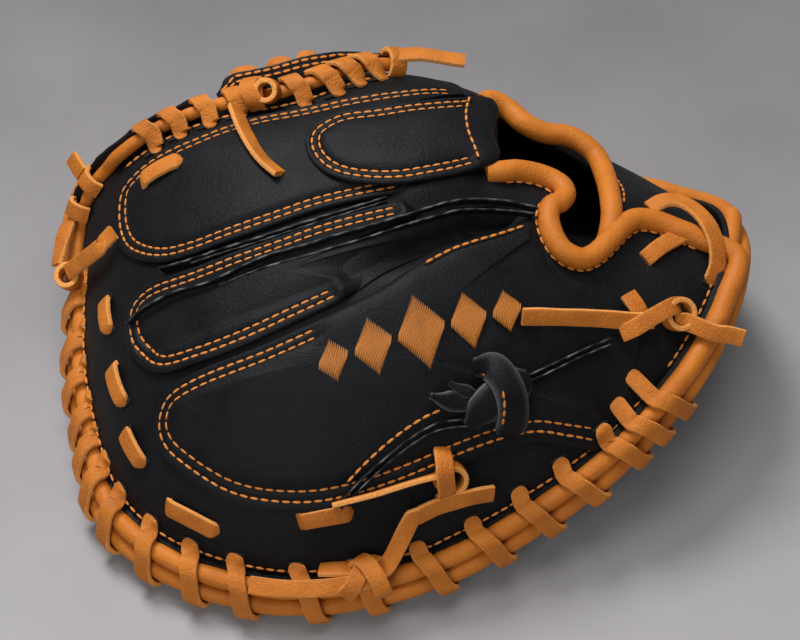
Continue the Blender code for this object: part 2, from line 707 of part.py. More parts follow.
def make_rim_knots(collection, lie, cross):
    """Laces knotted on the left and lower rim, over the rolls and the laces round them."""
    place = upper_roll_place()
    band = round_roll(ROLL_DIAMETER)
    over = band + LACE_THICKNESS + FIT_GAP + LACE_SLACK
    rows = [rim_row(degrees, place, 65, over) for degrees in (-113, -108, -103, -98, -93.5)]
    rows += back_rows((-1.6, -34.4, 1.4 * cross), (3.4, -32.6, 1.2 * cross), (8.0, -31.0, 1.2 * cross),
                      (12.4, -28.9, 1.1 * lie))
    lay("knot_bottom", rows, collection)
    turns = (105, 80, 55, 30, 5)
    rows = [corner_row(2, turn, band) for turn in (15, 40, 65, 90, 115, 140)]
    rows += [rim_row(168, place, 0, 2.0 * band), rim_row(170.5, place, -20, 2.4 * band)]
    lay("knot_left_upper", rows, collection)
    rows = back_rows((-42.6, 9.6, panel_lie()), (-44.4, 9.9, panel_lie()), (-46.2, 10.3, 1.6 * lie))
    rows += [rim_row(175, place, turn, band + 2.0 * LACE_SLACK) for turn in turns]
    rows.append(rim_row(175, place, -20, 1.4 * band))
    lay("knot_left_lower", rows, collection)


def make_crest_knots(collection, arch):
    """Laces knotted over the top edge's roll."""
    around = round_roll(ROLL_DIAMETER) + LACE_SLACK
    rows = [crest_row(CREST_KNOT_PLACE, turn, around) for turn in (165, 140, 115, 90, 65, 40)]
    rows += back_rows((-24.4, 22.0, 0.7 * arch + panel_lie()), (-23.4, 19.0, panel_lie()),
                      (-21.6, 14.8, panel_lie()), (-18.4, 9.3, panel_lie()))
    lay("knot_web", rows, collection)
    place = 98.5
    spot, along, off, near = crest_frame(place)
    rows = [crest_row(place, turn, around) for turn in (10, 35, 60, 90)]
    rows.append((spot + along * (2.4 * around) + off * (1.4 * around), off))
    rows.append((spot + along * (5.2 * around) + off * (1.1 * around), off))
    lay("knot_top", rows, collection)


clear_scene()
mitt = new_collection("catcher_mitt")
cutting = new_collection("cutters")
make_back_shell(mitt, cutting)
make_palm_pad(mitt)
make_pads(mitt)
make_welts(mitt)
make_rolls(mitt)
make_edge_laces(mitt)
make_top_laces(mitt)
make_running_laces(mitt)
make_knots(mitt)
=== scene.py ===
# %% [markdown]
# # A catcher's mitt, palm down
#
# A catcher's mitt is one big leather pillow. A shell of black cowhide covers the back of the
# hand, a thick stuffed pad makes the palm, and tan rawhide laces hold both together round the
# rim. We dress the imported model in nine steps: the frame, the surface that everything lies on,
# the leathers, the sewn panels, the rolls, the laces, the knots, the threads and the studio.
#
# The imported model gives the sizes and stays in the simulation. Everything here sits on it.

import math

import bmesh
import bpy
from mathutils import Matrix, Vector, noise


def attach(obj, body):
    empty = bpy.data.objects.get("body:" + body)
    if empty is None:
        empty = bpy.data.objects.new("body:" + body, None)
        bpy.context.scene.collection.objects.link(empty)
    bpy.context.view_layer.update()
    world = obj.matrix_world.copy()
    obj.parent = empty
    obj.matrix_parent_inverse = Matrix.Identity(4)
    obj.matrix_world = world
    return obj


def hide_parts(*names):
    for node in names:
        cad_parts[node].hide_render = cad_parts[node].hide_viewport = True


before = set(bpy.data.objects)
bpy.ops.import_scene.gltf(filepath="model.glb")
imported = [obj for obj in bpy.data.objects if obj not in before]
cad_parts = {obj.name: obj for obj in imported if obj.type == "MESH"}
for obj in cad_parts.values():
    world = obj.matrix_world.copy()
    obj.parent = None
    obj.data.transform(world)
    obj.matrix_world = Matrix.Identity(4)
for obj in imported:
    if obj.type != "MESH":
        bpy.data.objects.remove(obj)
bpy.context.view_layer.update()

# %% [markdown]
# ## The mitt's sizes
#
# We write each size once, in metres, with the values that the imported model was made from. The
# leathers are 2 to 3 mm thick, the rolls are nearly 8 mm, and the laces are 7 mm wide.

# %% Name the sizes
MITT_LENGTH = 0.280
MITT_WIDTH = 0.230
MITT_HEIGHT = 0.108
HEEL_DROP = 0.024
POCKET_HEIGHT = 0.058
SHELL_WALL = 0.003
PAD_EDGE = 0.010
PAD_THICKNESS = 0.022
PAD_PRESS = 0.0042
PANEL_GAP = 0.0008
PANEL_EDGE = 0.002
PANEL_CROWN = 0.0025
ROLL_DIAMETER = 0.0078
ROLL_LEAN = math.radians(20)
WRIST_ROLL_DIAMETER = 0.009
LACE_WIDTH = 0.007
LACE_THICKNESS = 0.0022
LACE_SLANT = 0.0045
LACE_RISE = 0.008
LACE_SLACK = 0.0005
FIT_GAP = 0.0004
PAD_SEAT = 0.0014
FLOOR_CLEAR = 0.0024
STITCH_PITCH = 0.00425
STITCH_ROWS = (0.0026, 0.0053)
print("the mitt is", 1000 * MITT_LENGTH, "mm long and", 1000 * MITT_HEIGHT, "mm high")

# %% [markdown]
# ## The pattern
#
# A glove maker works from a flat paper pattern, and so do we. Its points (u, v) are hundredths
# of the mitt's length: u grows towards the heel and v towards the thumb. The rim's table goes
# round the mitt in sixteen directions, from the heel by way of the thumb. It holds how far the
# rim lies from the middle, how high it stands, and two powers that round the leather over.
# The crest is the top edge, and the two lips are the sides of the hand hole.

# %% Lay down the pattern
PATTERN_ASPECT = 1.217
CENTRE = (-1.8, 8.9)
ORIGIN = (-3.4, 1.6)
HEEL_DROP_END = 46.4
REACH, RIM, SHARPNESS, FULLNESS = range(4)
RIM_ROWS = (
    (49.6, 60.0, 2.4, 0.62), (47.1, 22.1, 2.3, 0.57), (39.8, 1.0, 2.9, 0.50),
    (36.1, 0.0, 3.6, 0.48), (35.5, 0.0, 4.2, 0.48), (38.3, 0.0, 4.2, 0.48),
    (45.4, 6.3, 3.2, 0.52), (52.1, 30.5, 2.4, 0.56), (49.8, 16.8, 2.3, 0.58),
    (51.8, 7.4, 2.2, 0.60), (55.5, 2.1, 2.0, 0.62), (52.7, 0.0, 1.9, 0.64),
    (47.1, 2.1, 1.9, 0.64), (43.6, 11.6, 1.9, 0.64), (44.6, 29.5, 2.0, 0.63),
    (47.5, 49.5, 2.2, 0.62),
)
# The palm's sections: share of the way out, share of the rim, of the pocket, press, thickness
PAD_ROWS = (
    (0.00, 0.00, 1.00, 0.0, 0.50), (0.18, 0.15, 0.97, 0.2, 0.50), (0.36, 0.30, 0.78, 0.6, 0.54),
    (0.52, 0.45, 0.42, 1.0, 0.68), (0.66, 0.60, 0.12, 1.0, 0.91), (0.76, 0.70, 0.00, 1.0, 1.00),
    (0.90, 0.80, 0.00, 1.0, 0.80), (0.96, 0.92, 0.00, 0.4, 0.52),
)
# Degrees and hundredths down the wall, where the rim's roll climbs to the top edge
CORNER = ((167.6, 93.5), (166.2, 89), (164.8, 84.5), (163.4, 79.5), (162.2, 73.5))
CREST = (
    (-43.4, 22.4), (-40.0, 23.4), (-36.4, 24.5), (-30.7, 25.8), (-25.3, 26.3),
    (-19.7, 26.4), (-14.3, 27.7), (-9.5, 30.3), (-6.2, 32.2), (-2.5, 33.6),
)
NEAR_LIP = (
    (12.9, 11.0), (15.4, 11.8), (18.9, 11.8), (21.1, 10.7), (21.8, 9.0),
    (21.0, 7.3), (19.6, 6.1), (19.3, 3.6), (20.0, 1.1), (21.4, -0.6),
    (23.9, -1.0), (26.1, 0.4), (28.2, 2.9),
)
NEAR_LIP_TO_HEEL = ((30.5, 5.9), (32.5, 7.6), (35.7, 7.9), (38.6, 7.1), (42.0, 6.1))
FAR_LIP = (
    (12.9, 26.0), (14.6, 25.2), (16.8, 24.1), (18.9, 22.7), (21.4, 22.3),
    (25.0, 20.9), (27.9, 18.6), (29.0, 15.0), (28.9, 11.6),
)
HEEL_ROLL_DEGREES = (-6, -13, -20, -28)
print("directions round the rim:", len(RIM_ROWS))

# %% [markdown]
# ## The surface of the back
#
# The back is a dome over that pattern. At each direction we know the rim, and a power curve
# carries the leather from the rim up to the crown. A little slow noise is added, because real
# cowhide is never even. Every panel, seam and lace is placed on this one surface, so nothing
# floats and nothing sinks.

# %% Work out the dome
def lowest_rim():
    roll_stack = 0.5 * (ROLL_DIAMETER + FIT_GAP) * math.cos(ROLL_LEAN) + 0.5 * ROLL_DIAMETER
    return roll_stack + FIT_GAP + LACE_THICKNESS + FLOOR_CLEAR


def step(u, v):
    return Vector((0.01 * u * MITT_LENGTH, 0.01 * v * MITT_WIDTH * PATTERN_ASPECT, 0.0))


def on_floor(u, v):
    return step(u - ORIGIN[0], v - ORIGIN[1])


def pattern_point(spot):
    unit = step(1.0, 1.0)
    return spot.x / unit.x + ORIGIN[0], spot.y / unit.y + ORIGIN[1]


def ring_value(column, angle):
    """A column of the rim's table at any angle, on a smooth closed curve through its rows."""
    place = (angle / math.tau) % 1.0 * len(RIM_ROWS)
    row = int(place)
    t = place - row
    a, b, c, d = (RIM_ROWS[(row + k) % len(RIM_ROWS)][column] for k in (-1, 0, 1, 2))
    bend = 2 * a - 5 * b + 4 * c - d + t * (3 * (b - c) + d - a)
    return b + 0.5 * t * (c - a + t * bend)


def rim_ray(angle):
    reach = ring_value(REACH, angle)
    ray = step(reach * math.cos(angle), reach * math.sin(angle))
    return ray * (1.0 - (0.5 * ROLL_DIAMETER + FIT_GAP) / ray.length)


def rim_height(angle):
    low = lowest_rim()
    return low + 0.01 * ring_value(RIM, angle) * (MITT_HEIGHT - low)


def crown_height(x):
    t = min(max((x - on_floor(0.0, 0.0).x) / step(HEEL_DROP_END, 0.0).x, 0.0), 1.0)
    return MITT_HEIGHT - HEEL_DROP * t * t * (3.0 - 2.0 * t)


def back(angle, share):
    """The dome at an angle, at a share of the way from the centre to the rim."""
    spot = on_floor(*CENTRE) + rim_ray(angle) * share
    edge = rim_height(angle)
    bulge = (1.0 - share ** ring_value(SHARPNESS, angle)) ** ring_value(FULLNESS, angle)
    return Vector((spot.x, spot.y, edge + (crown_height(spot.x) - edge) * bulge))


def back_normal(angle, share):
    part = 0.004
    share = max(share, 0.03)
    outward = back(angle, min(share + part, 1.0)) - back(angle, share - part)
    onward = back(angle + part, share) - back(angle - part, share)
    return outward.cross(onward).normalized()


RIPPLE = 0.0006
ROLL_TUCK = 0.0040


def ripple(spot, share):
    """The slow unevenness of the hide, which fades out at the rim."""
    wave = noise.noise(spot * 28.0) + 0.5 * noise.noise(spot * 75.0)
    return RIPPLE * wave * (1.0 - share ** 8)


def on_back(u, v, lift):
    """A pattern's point, lifted off the back."""
    ray = step(u - CENTRE[0], v - CENTRE[1])
    angle = math.atan2(v - CENTRE[1], u - CENTRE[0])
    share = min(ray.length / rim_ray(angle).length, 0.995)
    spot = back(angle, share)
    return spot + back_normal(angle, share) * (lift + ripple(spot, share))


def on_wall(degrees, down, lift):
    """A point by its direction and its hundredths of the way down to the rim."""
    angle = math.radians(degrees)
    share = math.sin(0.01 * down * 0.5 * math.pi)
    spot = back(angle, share)
    return spot + back_normal(angle, share) * (lift + ripple(spot, share))


def ease(value):
    t = min(max(value, 0.0), 1.0)
    return t * t * (3.0 - 2.0 * t)


def roll_tuck(angle):
    """How far the rolls are drawn in under the leather, which is only at the fingertips."""
    degrees = (math.degrees(angle) + 360.0) % 360.0
    return ROLL_TUCK * ease((degrees - 168.0) / 11.0) * ease((222.0 - degrees) / 16.0)


def rim_frame(angle):
    """The rim's point for the rolls, with the directions along it, outward and upward."""
    part = 0.002
    along = (back(angle + part, 1.0) - back(angle - part, 1.0)).normalized()
    outward = Vector((along.y, -along.x, 0.0)).normalized()
    return back(angle, 1.0) - outward * roll_tuck(angle), along, outward, outward.cross(along)


def rim_point(degrees, out, up):
    edge, along, outward, upward = rim_frame(math.radians(degrees))
    return edge + outward * out + upward * up


def wall_share(angle, rise):
    """The share of the way to the rim at which the dome stands this much above it."""
    edge = back(angle, 1.0)
    bulge = min(rise / (crown_height(edge.x) - edge.z), 0.999)
    flat = 1.0 - bulge ** (1.0 / ring_value(FULLNESS, angle))
    return flat ** (1.0 / ring_value(SHARPNESS, angle))


print("crown over the fingers:", round(1000 * on_back(-20, 8, 0).z), "mm")

# %% [markdown]
# ## Where the rolls lie
#
# Two rolls run round the rim, one on the other and leaning outward, and a thicker one rests on
# the lower roll at the heel. Their places are worked out from the diameters, as the packed
# model does it.

# %% Stack the rolls
def upper_roll_place():
    up = 0.5 * (ROLL_DIAMETER + FIT_GAP) * math.cos(ROLL_LEAN)
    return 0.5 * ROLL_DIAMETER + FIT_GAP, up


def lower_roll_place():
    out, up = upper_roll_place()
    return out + (ROLL_DIAMETER + FIT_GAP) * math.sin(ROLL_LEAN), -up


def heel_roll_place():
    out = 0.5 * WRIST_ROLL_DIAMETER + FIT_GAP
    below_out, below_up = lower_roll_place()
    reach = 0.5 * (WRIST_ROLL_DIAMETER + ROLL_DIAMETER) + FIT_GAP
    return out, below_up + math.sqrt(reach ** 2 - (below_out - out) ** 2)


def round_roll(diameter):
    """How far a lace's middle lies from the middle of the roll that it winds round."""
    return 0.5 * diameter + FIT_GAP + LACE_SLACK + 0.5 * LACE_THICKNESS


def panel_top():
    return PANEL_GAP + PANEL_EDGE + PANEL_CROWN


lean_out = lower_roll_place()[0] - upper_roll_place()[0]
print("the rolls lean out by", round(1000 * lean_out, 1), "mm")

# %% [markdown]
# ## Smooth paths
#
# Seams, rolls and laces all follow smooth lines. A few chosen points are joined by a curve that
# passes through each one, and the curve is then walked in even steps. This keeps the tables
# short and the lines fair.

# %% Walk along smooth lines
def curve_point(points, i, t, closed=False):
    """The point at t of the i-th span of the smooth curve through all the points."""
    count = len(points)
    if closed:
        a, b, c, d = (points[(i + k) % count] for k in (-1, 0, 1, 2))
    else:
        a, b, c, d = (points[min(max(i + k, 0), count - 1)] for k in (-1, 0, 1, 2))
    return b + (c - a + (2 * a - 5 * b + 4 * c - d + (3 * (b - c) + d - a) * t) * t) * (0.5 * t)


FINE_STEPS = 16


def even_places(points, spacing, closed=False):
    """Places (i, t) on the smooth curve, evenly spaced along it."""
    spans = len(points) if closed else len(points) - 1
    fine = [(i, k / FINE_STEPS) for i in range(spans) for k in range(FINE_STEPS)]
    fine.append((spans - 1, 1.0))
    spots = [curve_point(points, i, t, closed) for i, t in fine]
    lengths = [0.0]
    for before, after in zip(spots, spots[1:]):
        lengths.append(lengths[-1] + (after - before).length)
    steps = max(round(lengths[-1] / spacing), 2)
    places = []
    k = 0
    for count in range(steps if closed else steps + 1):
        goal = lengths[-1] * count / steps
        while k < len(fine) - 2 and lengths[k + 1] < goal:
            k += 1
        part = min((goal - lengths[k]) / max(lengths[k + 1] - lengths[k], 1e-9), 1.0)
        i, t = fine[k]
        places.append((i, t + part / FINE_STEPS))
    return places


def smooth_path(points, spacing, closed=False):
    return [curve_point(points, i, t, closed) for i, t in even_places(points, spacing, closed)]


def smooth_rows(rows, spacing, closed=False):
    """Rows of a point and the direction its face looks in, evenly spaced on a smooth line."""
    points = [row[0] for row in rows]
    faces = [row[1] for row in rows]
    places = even_places(points, spacing, closed)
    return [(curve_point(points, i, t, closed), curve_point(faces, i, t, closed).normalized())
            for i, t in places]


crest_marks = smooth_path([Vector((*point, 0.0)) for point in CREST], 1.0)
print("points on the crest's line:", len(crest_marks))

# %% [markdown]
# ## The hides
#
# Three hides dress the mitt. Black cowhide has a fine pebbled grain, a dull waxy gloss and slow
# changes of shade. The tan rolls are the same hide, dyed and rolled smooth. The laces are
# rougher, and where they are cut the raw hide shows pale, so an attribute named raw marks cut
# edges on each mesh. A finish is a small tree of nodes, and these helpers add them one by one.

# %% Lay out the tools for finishes
PATCH_SCALE = 55.0
FIBRE_SCALE = 900.0
GRAIN_RELIEF = 0.0004
PORE_RELIEF = 0.0003
WRINKLE_RELIEF = 0.0012


def new_finish(name):
    """A new material, its shader, and the Object coordinates that its patterns read."""
    made = bpy.data.materials.new(name)
    made.use_nodes = True
    nodes = made.node_tree.nodes
    return made, nodes["Principled BSDF"], nodes.new("ShaderNodeTexCoord").outputs["Object"]


def set_inputs(node, inputs):
    """Give each input its number or colour, or link it to another node's output."""
    for name, value in inputs.items():
        if isinstance(value, bpy.types.NodeSocket):
            node.id_data.links.new(value, node.inputs[name])
        else:
            node.inputs[name].default_value = value


def add_node(made, kind, inputs, **settings):
    node = made.node_tree.nodes.new("ShaderNode" + kind)
    for name, value in settings.items():
        setattr(node, name, value)
    set_inputs(node, inputs)
    return node


def add_ramp(made, source, low, high):
    """A colour ramp between two stops, each a position and a colour."""
    ramp = add_node(made, "ValToRGB", {"Fac": source})
    for element, (position, colour) in zip(ramp.color_ramp.elements, (low, high)):
        element.position = position
        element.color = (*colour, 1.0)
    return ramp.outputs["Color"]


def add_bump(made, strength, relief, height, below=None):
    """A bump, on top of the one below it where there is one."""
    inputs = {"Strength": strength, "Distance": relief, "Height": height}
    if below:
        inputs["Normal"] = below
    return add_node(made, "Bump", inputs).outputs["Normal"]


print("grain stands", 1000 * GRAIN_RELIEF, "mm high")

# %% [markdown]
# ## Grain, patches and cut edges
#
# One function mixes all three hides. Slow noise blends two shades and makes the gloss uneven.
# The raw attribute brings in the colour of the cut edge, broken up by fine fibres. Three bumps
# lie on each other: pebbles of grain, pores between them, and long soft wrinkles.

# %% Tan the hides
def leather(name, colour, dark, raw, roughness, grain, depth, specular):
    """A grained hide: colour and dark mix in slow patches, raw is the colour of cut edges."""
    made, shader, place = new_finish(name)
    patches = add_node(made, "TexNoise", {
        "Scale": PATCH_SCALE, "Detail": 6.0, "Roughness": 0.62, "Vector": place}).outputs["Fac"]
    shade = add_ramp(made, patches, (0.36, dark), (0.66, colour))

    cut = add_node(made, "Attribute", {}, attribute_name="raw").outputs["Fac"]
    fibres = add_node(made, "TexNoise", {"Scale": FIBRE_SCALE, "Detail": 4.0, "Vector": place})
    worn = add_node(made, "Math", {0: fibres.outputs["Fac"], 1: 0.7, 2: -0.35},
                    operation="MULTIPLY_ADD")
    edge = add_node(made, "Math", {0: cut, 1: worn.outputs["Value"]},
                    operation="ADD", use_clamp=True)
    limit = add_node(made, "Math", {0: edge.outputs["Value"], 1: cut},
                     operation="MULTIPLY", use_clamp=True)
    mixed = add_node(made, "Mix", {
        "Factor": limit.outputs["Value"], "A": shade, "B": (*raw, 1.0)}, data_type="RGBA")

    cells = add_node(made, "TexVoronoi", {"Scale": grain, "Randomness": 0.9, "Vector": place},
                     feature="SMOOTH_F1")
    pores = add_node(made, "TexNoise", {"Scale": 1.7 * grain, "Detail": 5.0, "Vector": place})
    wrinkles = add_node(made, "TexNoise", {
        "Scale": 0.16 * grain, "Detail": 3.0, "Distortion": 1.2, "Vector": place})
    fine = add_bump(made, depth, GRAIN_RELIEF, cells.outputs["Distance"])
    finer = add_bump(made, 0.7 * depth, PORE_RELIEF, pores.outputs["Fac"], fine)
    coarse = add_bump(made, 0.5 * depth, WRINKLE_RELIEF, wrinkles.outputs["Fac"], finer)

    gloss = add_node(made, "MapRange", {
        "From Min": 0.3, "From Max": 0.7, "To Min": roughness - 0.07, "To Max": roughness + 0.09,
        "Value": patches})
    set_inputs(shader, {
        "Base Color": mixed.outputs["Result"], "Normal": coarse,
        "Roughness": gloss.outputs["Result"], "Specular IOR Level": specular})
    return made


BLACK_HIDE = leather(
    "black_hide", (0.0068, 0.0072, 0.0086), (0.0036, 0.0038, 0.0046), (0.130, 0.132, 0.140),
    roughness=0.52, grain=1500.0, depth=0.42, specular=0.13)
TAN_HIDE = leather(
    "tan_rolled_hide", (0.560, 0.178, 0.020), (0.455, 0.132, 0.013), (0.70, 0.30, 0.07),
    roughness=0.52, grain=1400.0, depth=0.42, specular=0.22)
TAN_RAWHIDE = leather(
    "tan_rawhide", (0.545, 0.172, 0.020), (0.400, 0.116, 0.012), (0.72, 0.31, 0.08),
    roughness=0.60, grain=1100.0, depth=0.70, specular=0.22)
print("finishes:", BLACK_HIDE.name, TAN_HIDE.name, TAN_RAWHIDE.name)

# %% [markdown]
# ## The thread
#
# The seams are sewn in thick waxed thread of a brighter orange. Thread is twisted from plies,
# so a fine wave runs across it, and the grooves between the plies are painted darker, as
# painted shade. Where the needle went in at each end of a stitch, a near-black disc paints the
# shade in the hole.

# %% Wax the thread
PLY_SCALE = 700.0


def thread_finish(name, colour, roughness):
    made, shader, place = new_finish(name)
    plies = add_node(made, "TexWave", {"Scale": PLY_SCALE, "Distortion": 2.0, "Vector": place},
                     bands_direction="DIAGONAL").outputs["Fac"]
    # The ramp darkens the wave's low bands, the grooves between the plies that the bump sinks:
    # painted shade.
    shade = add_ramp(made, plies, (0.0, [0.55 * part for part in colour]), (0.55, colour))
    twist = add_bump(made, 0.6, 0.0002, plies)
    set_inputs(shader, {"Base Color": shade, "Normal": twist, "Roughness": roughness})
    return made


THREAD = thread_finish("waxed_thread", (0.80, 0.265, 0.030), 0.5)
# A near-black finish for needle holes and lace slits: painted shade where the leather is pierced.
HOLE_SHADE_FINISH = thread_finish("needle_hole_painted_shade", (0.0016, 0.0015, 0.0016), 0.9)
print("thread:", THREAD.name, HOLE_SHADE_FINISH.name)

# %% [markdown]
# ## The workbench
#
# Three small helpers make almost every piece. grid starts from one of Blender's own grids and
# puts each of its points where we say. add_piece turns the bmesh into an object that rides on
# the mitt. skin pulls a cross-section along rows of points, for rolls, laces and straps.

# %% Set up the workbench
WELD = 0.000002
SHARP_ANGLE = math.radians(50)

mitt = bpy.data.collections.new("mitt")
bpy.context.scene.collection.children.link(mitt)


def grid(across, along, place, raw=None):
    """A grid mesh whose point (column, row) lies at place(column, row), with its doubles welded."""
    mesh = bmesh.new()
    bmesh.ops.create_grid(mesh, x_segments=across, y_segments=along, size=0.5)
    cut = mesh.verts.layers.float.new("raw")
    for vert in mesh.verts:
        column = round((vert.co.x + 0.5) * across)
        row = round((vert.co.y + 0.5) * along)
        vert.co = place(column, row)
        if raw:
            vert[cut] = raw(column, row)
    bmesh.ops.remove_doubles(mesh, verts=mesh.verts, dist=WELD)
    bmesh.ops.dissolve_degenerate(mesh, edges=mesh.edges, dist=WELD)
    bmesh.ops.recalc_face_normals(mesh, faces=mesh.faces)
    return mesh


def add_piece(name, mesh, finishes, nodes=()):
    """The bmesh as an object that rides on the mitt and stands for these nodes."""
    data = bpy.data.meshes.new(name)
    mesh.to_mesh(data)
    mesh.free()
    for finish in finishes:
        data.materials.append(finish)
    data.shade_smooth()
    data.set_sharp_from_angle(angle=SHARP_ANGLE)
    made = bpy.data.objects.new(name, data)
    mitt.objects.link(made)
    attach(made, "root")
    if nodes:
        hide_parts(*nodes)
    return made


def skin(rows, section, closed=False):
    """A mesh pulled along rows of a point and the direction its face looks in.

    section(distance, whole, point) gives the ring there, each corner as across, high and raw.
    """
    count = len(rows)
    distances = [0.0]
    for before, after in zip(rows, rows[1:]):
        distances.append(distances[-1] + (after[0] - before[0]).length)
    rings = []
    for i, (point, face) in enumerate(rows):
        if closed:
            ahead = rows[(i + 1) % count][0] - rows[i - 1][0]
        else:
            ahead = rows[min(i + 1, count - 1)][0] - rows[max(i - 1, 0)][0]
        side = ahead.cross(face).normalized()
        up = side.cross(ahead).normalized()
        ring = section(distances[i], distances[-1], point)
        rings.append([(point + side * across + up * high, raw) for across, high, raw in ring])
    around = len(rings[0])
    rounds = count if closed else count - 1

    def place(column, row):
        return rings[row % count][column % around][0]

    def cut(column, row):
        return rings[row % count][column % around][1]

    mesh = grid(around, rounds, place, cut)
    if not closed:
        bmesh.ops.holes_fill(mesh, edges=mesh.edges)
        bmesh.ops.recalc_face_normals(mesh, faces=mesh.faces)
    return mesh


print("workbench ready")

# %% [markdown]
# ## Folds in the back
#
# Two forms break the even dome. Where the finger panels end, the leather swells smoothly up to
# the hand hole. Beside it, between the middle and the lower panel, it sinks into a deep fold.
# Both are soft heights that are added along a short line.

# %% Fold the back
SWELL_LINE = ((-4.0, 5.0), (1.0, 6.3), (5.0, 8.0), (9.0, 10.2))
SWELL_HEIGHT = 0.0040
SWELL_WIDTH = 2.7
FOLD_LINE = ((-10.0, -8.0), (-3.0, -4.4), (4.0, -1.0), (8.0, 0.9), (12.0, 2.9), (15.6, 4.4))
FOLD_DEPTH = 0.0078
FOLD_WIDTH = 1.7


def nearest_on(line, u, v):
    """The distance from a pattern point to a line, and the share of the line at which it is."""
    here = Vector((u, v, 0.0))
    best = (math.inf, 0.0)
    for i, (start, end) in enumerate(zip(line, line[1:])):
        a, b = Vector((*start, 0.0)), Vector((*end, 0.0))
        along = b - a
        t = min(max((here - a).dot(along) / along.length_squared, 0.0), 1.0)
        best = min(best, ((here - a - along * t).length, (i + t) / (len(line) - 1)))
    return best


def swell(u, v):
    far, share = nearest_on(SWELL_LINE, u, v)
    height = SWELL_HEIGHT * math.exp(-(far / SWELL_WIDTH) ** 2)
    return height * ease(4.0 * share) * ease(3.0 * (1.0 - share) + 0.4)


def fold(u, v):
    far, share = nearest_on(FOLD_LINE, u, v)
    depth = FOLD_DEPTH * math.exp(-(far / FOLD_WIDTH) ** 2)
    return depth * ease(3.0 * share) * ease(5.0 * (1.0 - share) + 0.3)


print("the fold is", round(1000 * fold(8.0, 1.3), 1), "mm deep")

# %% [markdown]
# ## The back's leather
#
# The back is one large piece of cowhide with the hand hole cut in it. We place a fine grid on
# the dome, in rings from the crown to the rim, give it its 3 mm with Solidify, and cut the hole
# with a Boolean along the two lips. Both modifiers are then applied, and the cutter is thrown
# away.

# %% Stretch the back
BACK_SECTORS, BACK_RINGS = 260, 96


def apply_modifiers(made):
    graph = bpy.context.evaluated_depsgraph_get()
    data = bpy.data.meshes.new_from_object(made.evaluated_get(graph))
    made.modifiers.clear()
    made.data = data


def hand_hole_cutter():
    outline = [on_floor(u, v) for u, v in NEAR_LIP + FAR_LIP[-2::-1]]
    corners = smooth_path(outline, 0.002, closed=True)
    hole = bmesh.new()
    floor = hole.faces.new([hole.verts.new((p.x, p.y, 0.5 * MITT_HEIGHT)) for p in corners])
    lid = bmesh.ops.extrude_face_region(hole, geom=[floor])["geom"]
    risen = [item for item in lid if isinstance(item, bmesh.types.BMVert)]
    bmesh.ops.translate(hole, verts=risen, vec=(0.0, 0.0, MITT_HEIGHT))
    bmesh.ops.recalc_face_normals(hole, faces=hole.faces)
    data = bpy.data.meshes.new("hand_hole")
    hole.to_mesh(data)
    hole.free()
    cutter = bpy.data.objects.new("hand_hole", data)
    mitt.objects.link(cutter)
    return cutter


def make_back_leather():
    def place(column, row):
        share = math.sin(row / BACK_RINGS * 0.5 * math.pi)
        angle = math.tau * (column % BACK_SECTORS) / BACK_SECTORS
        spot = back(angle, share)
        u, v = pattern_point(spot)
        return spot + back_normal(angle, share) * (ripple(spot, share) + swell(u, v) - fold(u, v))

    mesh = grid(BACK_SECTORS, BACK_RINGS, place)
    if sum(face.normal.z for face in mesh.faces) < 0.0:
        bmesh.ops.reverse_faces(mesh, faces=mesh.faces)
    made = add_piece("back_leather", mesh, [BLACK_HIDE], ["back_shell"])
    wall = made.modifiers.new("wall", "SOLIDIFY")
    wall.thickness = SHELL_WALL
    wall.offset = -1.0
    cutter = hand_hole_cutter()
    cut = made.modifiers.new("hand_hole", "BOOLEAN")
    cut.object = cutter
    cut.operation = "DIFFERENCE"
    apply_modifiers(made)
    bpy.data.objects.remove(cutter)
    made.data.shade_smooth()
    made.data.set_sharp_from_angle(angle=SHARP_ANGLE)
    return made


back_leather = make_back_leather()
print("back_leather:", len(back_leather.data.polygons), "faces")

# %% [markdown]
# ## The palm
#
# The palm is the thick part: leather over a stuffed pad, with a pocket for the ball. It lies
# underneath, closed round the rim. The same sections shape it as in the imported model, joined by
# smooth curves instead of straight facets. Creases run round the pocket, where the pad bends
# when the mitt closes on a ball.

# %% Stuff the palm
PALM_SECTORS, PALM_STEPS = 240, 8
PALM_CREASE = 0.0009
PALM_CREASES = 7.0
CREASES_END = 0.62


def column_at(rows, place):
    """The rows' numbers at any place between them, on smooth curves."""
    i = min(int(place), len(rows) - 2)
    return [curve_point([Vector((value, 0.0, 0.0)) for value in column], i, place - i).x
            for column in zip(*rows)]


def make_palm_leather():
    steps = (len(PAD_ROWS) - 1) * PALM_STEPS
    tops = [column_at(PAD_ROWS, k / PALM_STEPS) for k in range(steps + 1)]
    rows = [(top, True) for top in tops] + [("edge", True), ("edge", False)]
    rows += [(top, False) for top in reversed(tops)]

    def place(column, row):
        section, upper = rows[row]
        angle = math.tau * (column % PALM_SECTORS) / PALM_SECTORS
        edge = back(angle, 1.0)
        if section == "edge":
            return Vector((edge.x, edge.y, edge.z - (PAD_SEAT if upper else PAD_EDGE)))
        share, rim, pocket, press, thick = section
        spot = on_floor(*CENTRE) + rim_ray(angle) * share
        sole = rim * (edge.z - PAD_EDGE) + pocket * POCKET_HEIGHT - press * PAD_PRESS
        if upper:
            return Vector((spot.x, spot.y, max(sole, 0.0) + thick * PAD_THICKNESS))
        wave = math.tau * PALM_CREASES * share + 2.0 * noise.noise(spot * 25.0)
        crease = PALM_CREASE * math.cos(wave)
        crease *= ease(5.0 * share) * ease(4.0 * (CREASES_END - share))
        uneven = ripple(spot, share) * ease(9.0 * sole / 0.02)
        return Vector((spot.x, spot.y, max(sole + crease + uneven, 0.0)))

    return add_piece("palm_leather", grid(PALM_SECTORS, len(rows) - 1, place), [BLACK_HIDE],
                     ["palm_pad"])


palm_leather = make_palm_leather()
print("palm_leather:", len(palm_leather.data.polygons), "faces")

